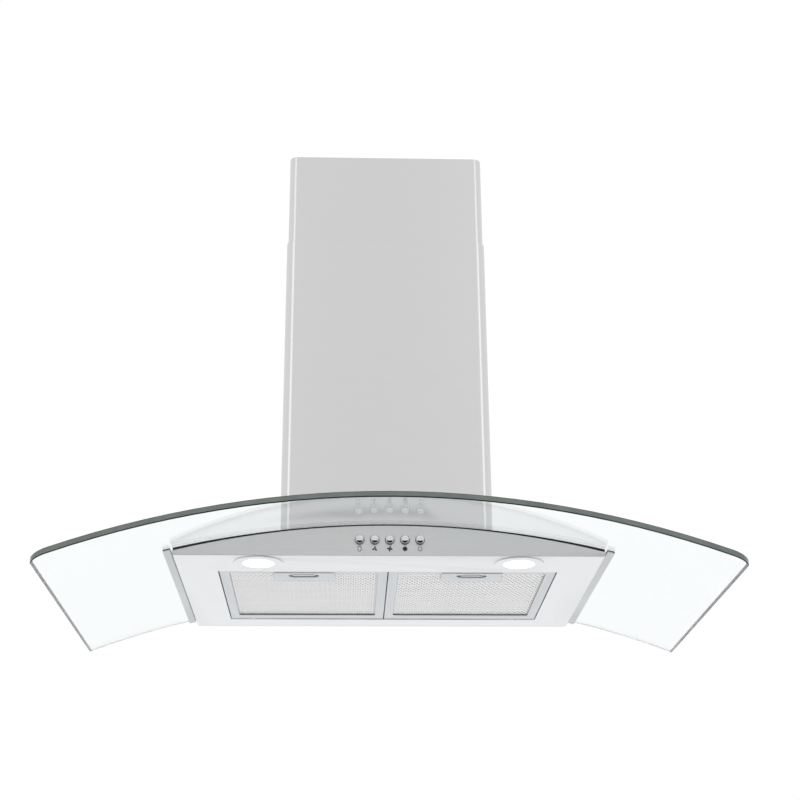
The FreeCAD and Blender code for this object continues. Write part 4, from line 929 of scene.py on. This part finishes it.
class HOOD_OT_stage(bpy.types.Operator):
    """Pale floor, soft lights, white room and the camera"""

    bl_idname = "hood.stage"
    bl_label = "Studio"

    def execute(self, context):
        studio = context.scene.hood_studio
        self.room(context.scene, studio)
        self.floor(studio)
        covers = bpy.data.collections.new("softbox_receivers")
        for name in ("cover_lower", "cover_upper"):
            covers.objects.link(bpy.data.objects[name])
        for name, side in (("softbox_left", -1), ("softbox_right", 1)):
            x, y, z = SOFTBOX_PLACE
            lamp = self.softbox(name, (side * x, y, z), studio.softbox)
            # kept off everything but the covers, as flags beside the boxes would
            lamp.light_linking.receiver_collection = covers
        self.dark_cards()
        self.camera(context.scene, studio)
        context.scene.view_settings.view_transform = "Standard"
        return {"FINISHED"}

    def room(self, scene, studio):
        """White all round, greyer in front, where the room is deeper."""
        world = bpy.data.worlds.new("studio_room")
        scene.world = world
        world.use_nodes = True
        tree = world.node_tree
        tree.nodes.clear()
        place = add_node(tree, "ShaderNodeTexCoord")
        split = add_node(tree, "ShaderNodeSeparateXYZ", {"Vector": place.outputs["Generated"]})
        tone = add_node(tree, "ShaderNodeMapRange", {
            "Value": split.outputs["Y"], "From Min": -1.0, "From Max": -0.2,
            "To Min": 0.94, "To Max": 1.02}, clamp=True)
        light = add_node(tree, "ShaderNodeBackground", {
            "Color": tone.outputs["Result"], "Strength": studio.room})
        add_node(tree, "ShaderNodeOutputWorld", {"Surface": light.outputs[0]})

    def floor(self, studio):
        bpy.ops.mesh.primitive_circle_add(vertices=96, radius=6.0, fill_type="NGON",
                                          location=(0, 0, studio.floor))
        floor = added("studio_floor")
        material, tree = new_material("floor_matt_pale")
        place = add_node(tree, "ShaderNodeTexCoord")
        cloud = add_node(tree, "ShaderNodeTexNoise", {
            "Vector": place.outputs["Object"], "Scale": 3.0, "Detail": 3.0})
        tone = add_node(tree, "ShaderNodeValToRGB", {"Fac": cloud.outputs["Fac"]}, stops=(
            (0.0, linear("#eeeeee")), (1.0, linear("#f7f7f7"))))
        shader = add_node(tree, "ShaderNodeBsdfPrincipled", {
            "Base Color": tone.outputs["Color"], "Roughness": 0.8})
        finish_material(tree, shader)
        floor.data.materials.append(material)

    def dark_cards(self):
        """Black cards low in front of the buttons, seen only in the chrome."""
        material, tree = new_material("card_black")
        shader = add_node(tree, "ShaderNodeBsdfPrincipled", {
            "Base Color": linear("#0c0c0c"), "Roughness": 0.9})
        finish_material(tree, shader)
        for name, place, size in DARK_CARDS:
            bpy.ops.mesh.primitive_plane_add(size=1.0, location=place)
            bpy.ops.transform.resize(value=size, center_override=place)
            card = added(name)
            card.data.materials.append(material)
            for way in ("camera", "diffuse", "transmission", "volume_scatter", "shadow"):
                setattr(card, "visible_" + way, False)

    def softbox(self, name, place, power):
        """An upright softbox turned to the hood."""
        data = bpy.data.lights.new(name, "AREA")
        data.shape = "RECTANGLE"
        data.size, data.size_y = SOFTBOX_SHAPE
        data.energy = power
        lamp = bpy.data.objects.new(name, data)
        bpy.context.scene.collection.objects.link(lamp)
        lamp.location = place
        lamp.visible_camera = False
        aim = Vector(LIT_POINT) - Vector(place)
        lamp.rotation_euler = aim.to_track_quat("-Z", "Y").to_euler()
        return lamp

    def camera(self, scene, studio):
        data = bpy.data.cameras.new("studio_camera")
        data.lens = studio.lens
        data.sensor_width = 36.0
        data.sensor_fit = "HORIZONTAL"
        data.clip_end = 50.0
        view = bpy.data.objects.new("studio_camera", data)
        scene.collection.objects.link(view)
        yaw, pitch, roll = studio.camera_turn
        view.matrix_world = (
            Matrix.Translation(studio.camera_place) @ Matrix.Rotation(yaw, 4, "Z")
            @ Matrix.Rotation(math.pi / 2 + pitch, 4, "X") @ Matrix.Rotation(roll, 4, "Z"))
        scene.camera = view


class HOOD_PT_sidebar(bpy.types.Panel):
    bl_label = "Glass chimney hood"
    bl_idname = "HOOD_PT_sidebar"
    bl_space_type = "VIEW_3D"
    bl_region_type = "UI"
    bl_category = "Hood"

    def draw(self, context):
        for operator in OPERATORS:
            self.layout.operator(operator.bl_idname)
        scene = context.scene
        for group in (scene.hood_sizes, scene.hood_colours, scene.hood_studio):
            for name in group.__annotations__:
                self.layout.prop(group, name)


OPERATORS = (HOOD_OT_finishes, HOOD_OT_canopy, HOOD_OT_body, HOOD_OT_panel, HOOD_OT_buttons,
             HOOD_OT_lamps, HOOD_OT_filters, HOOD_OT_chimney, HOOD_OT_blower, HOOD_OT_stage)
GROUPS = (HoodSizes, HoodColours, HoodStudio)


def register():
    for cls in GROUPS + OPERATORS + (HOOD_PT_sidebar,):
        bpy.utils.register_class(cls)
    bpy.types.Scene.hood_sizes = PointerProperty(type=HoodSizes)
    bpy.types.Scene.hood_colours = PointerProperty(type=HoodColours)
    bpy.types.Scene.hood_studio = PointerProperty(type=HoodStudio)


def unregister():
    del bpy.types.Scene.hood_studio
    del bpy.types.Scene.hood_colours
    del bpy.types.Scene.hood_sizes
    for cls in reversed(GROUPS + OPERATORS + (HOOD_PT_sidebar,)):
        bpy.utils.unregister_class(cls)


def main():
    register()
    deselect()
    bpy.ops.hood.finishes()
    bpy.ops.hood.canopy()
    bpy.ops.hood.body()
    bpy.ops.hood.panel()
    bpy.ops.hood.buttons()
    bpy.ops.hood.lamps()
    bpy.ops.hood.filters()
    bpy.ops.hood.chimney()
    bpy.ops.hood.blower()
    bpy.ops.hood.stage()


if __name__ == "__main__":
    main()
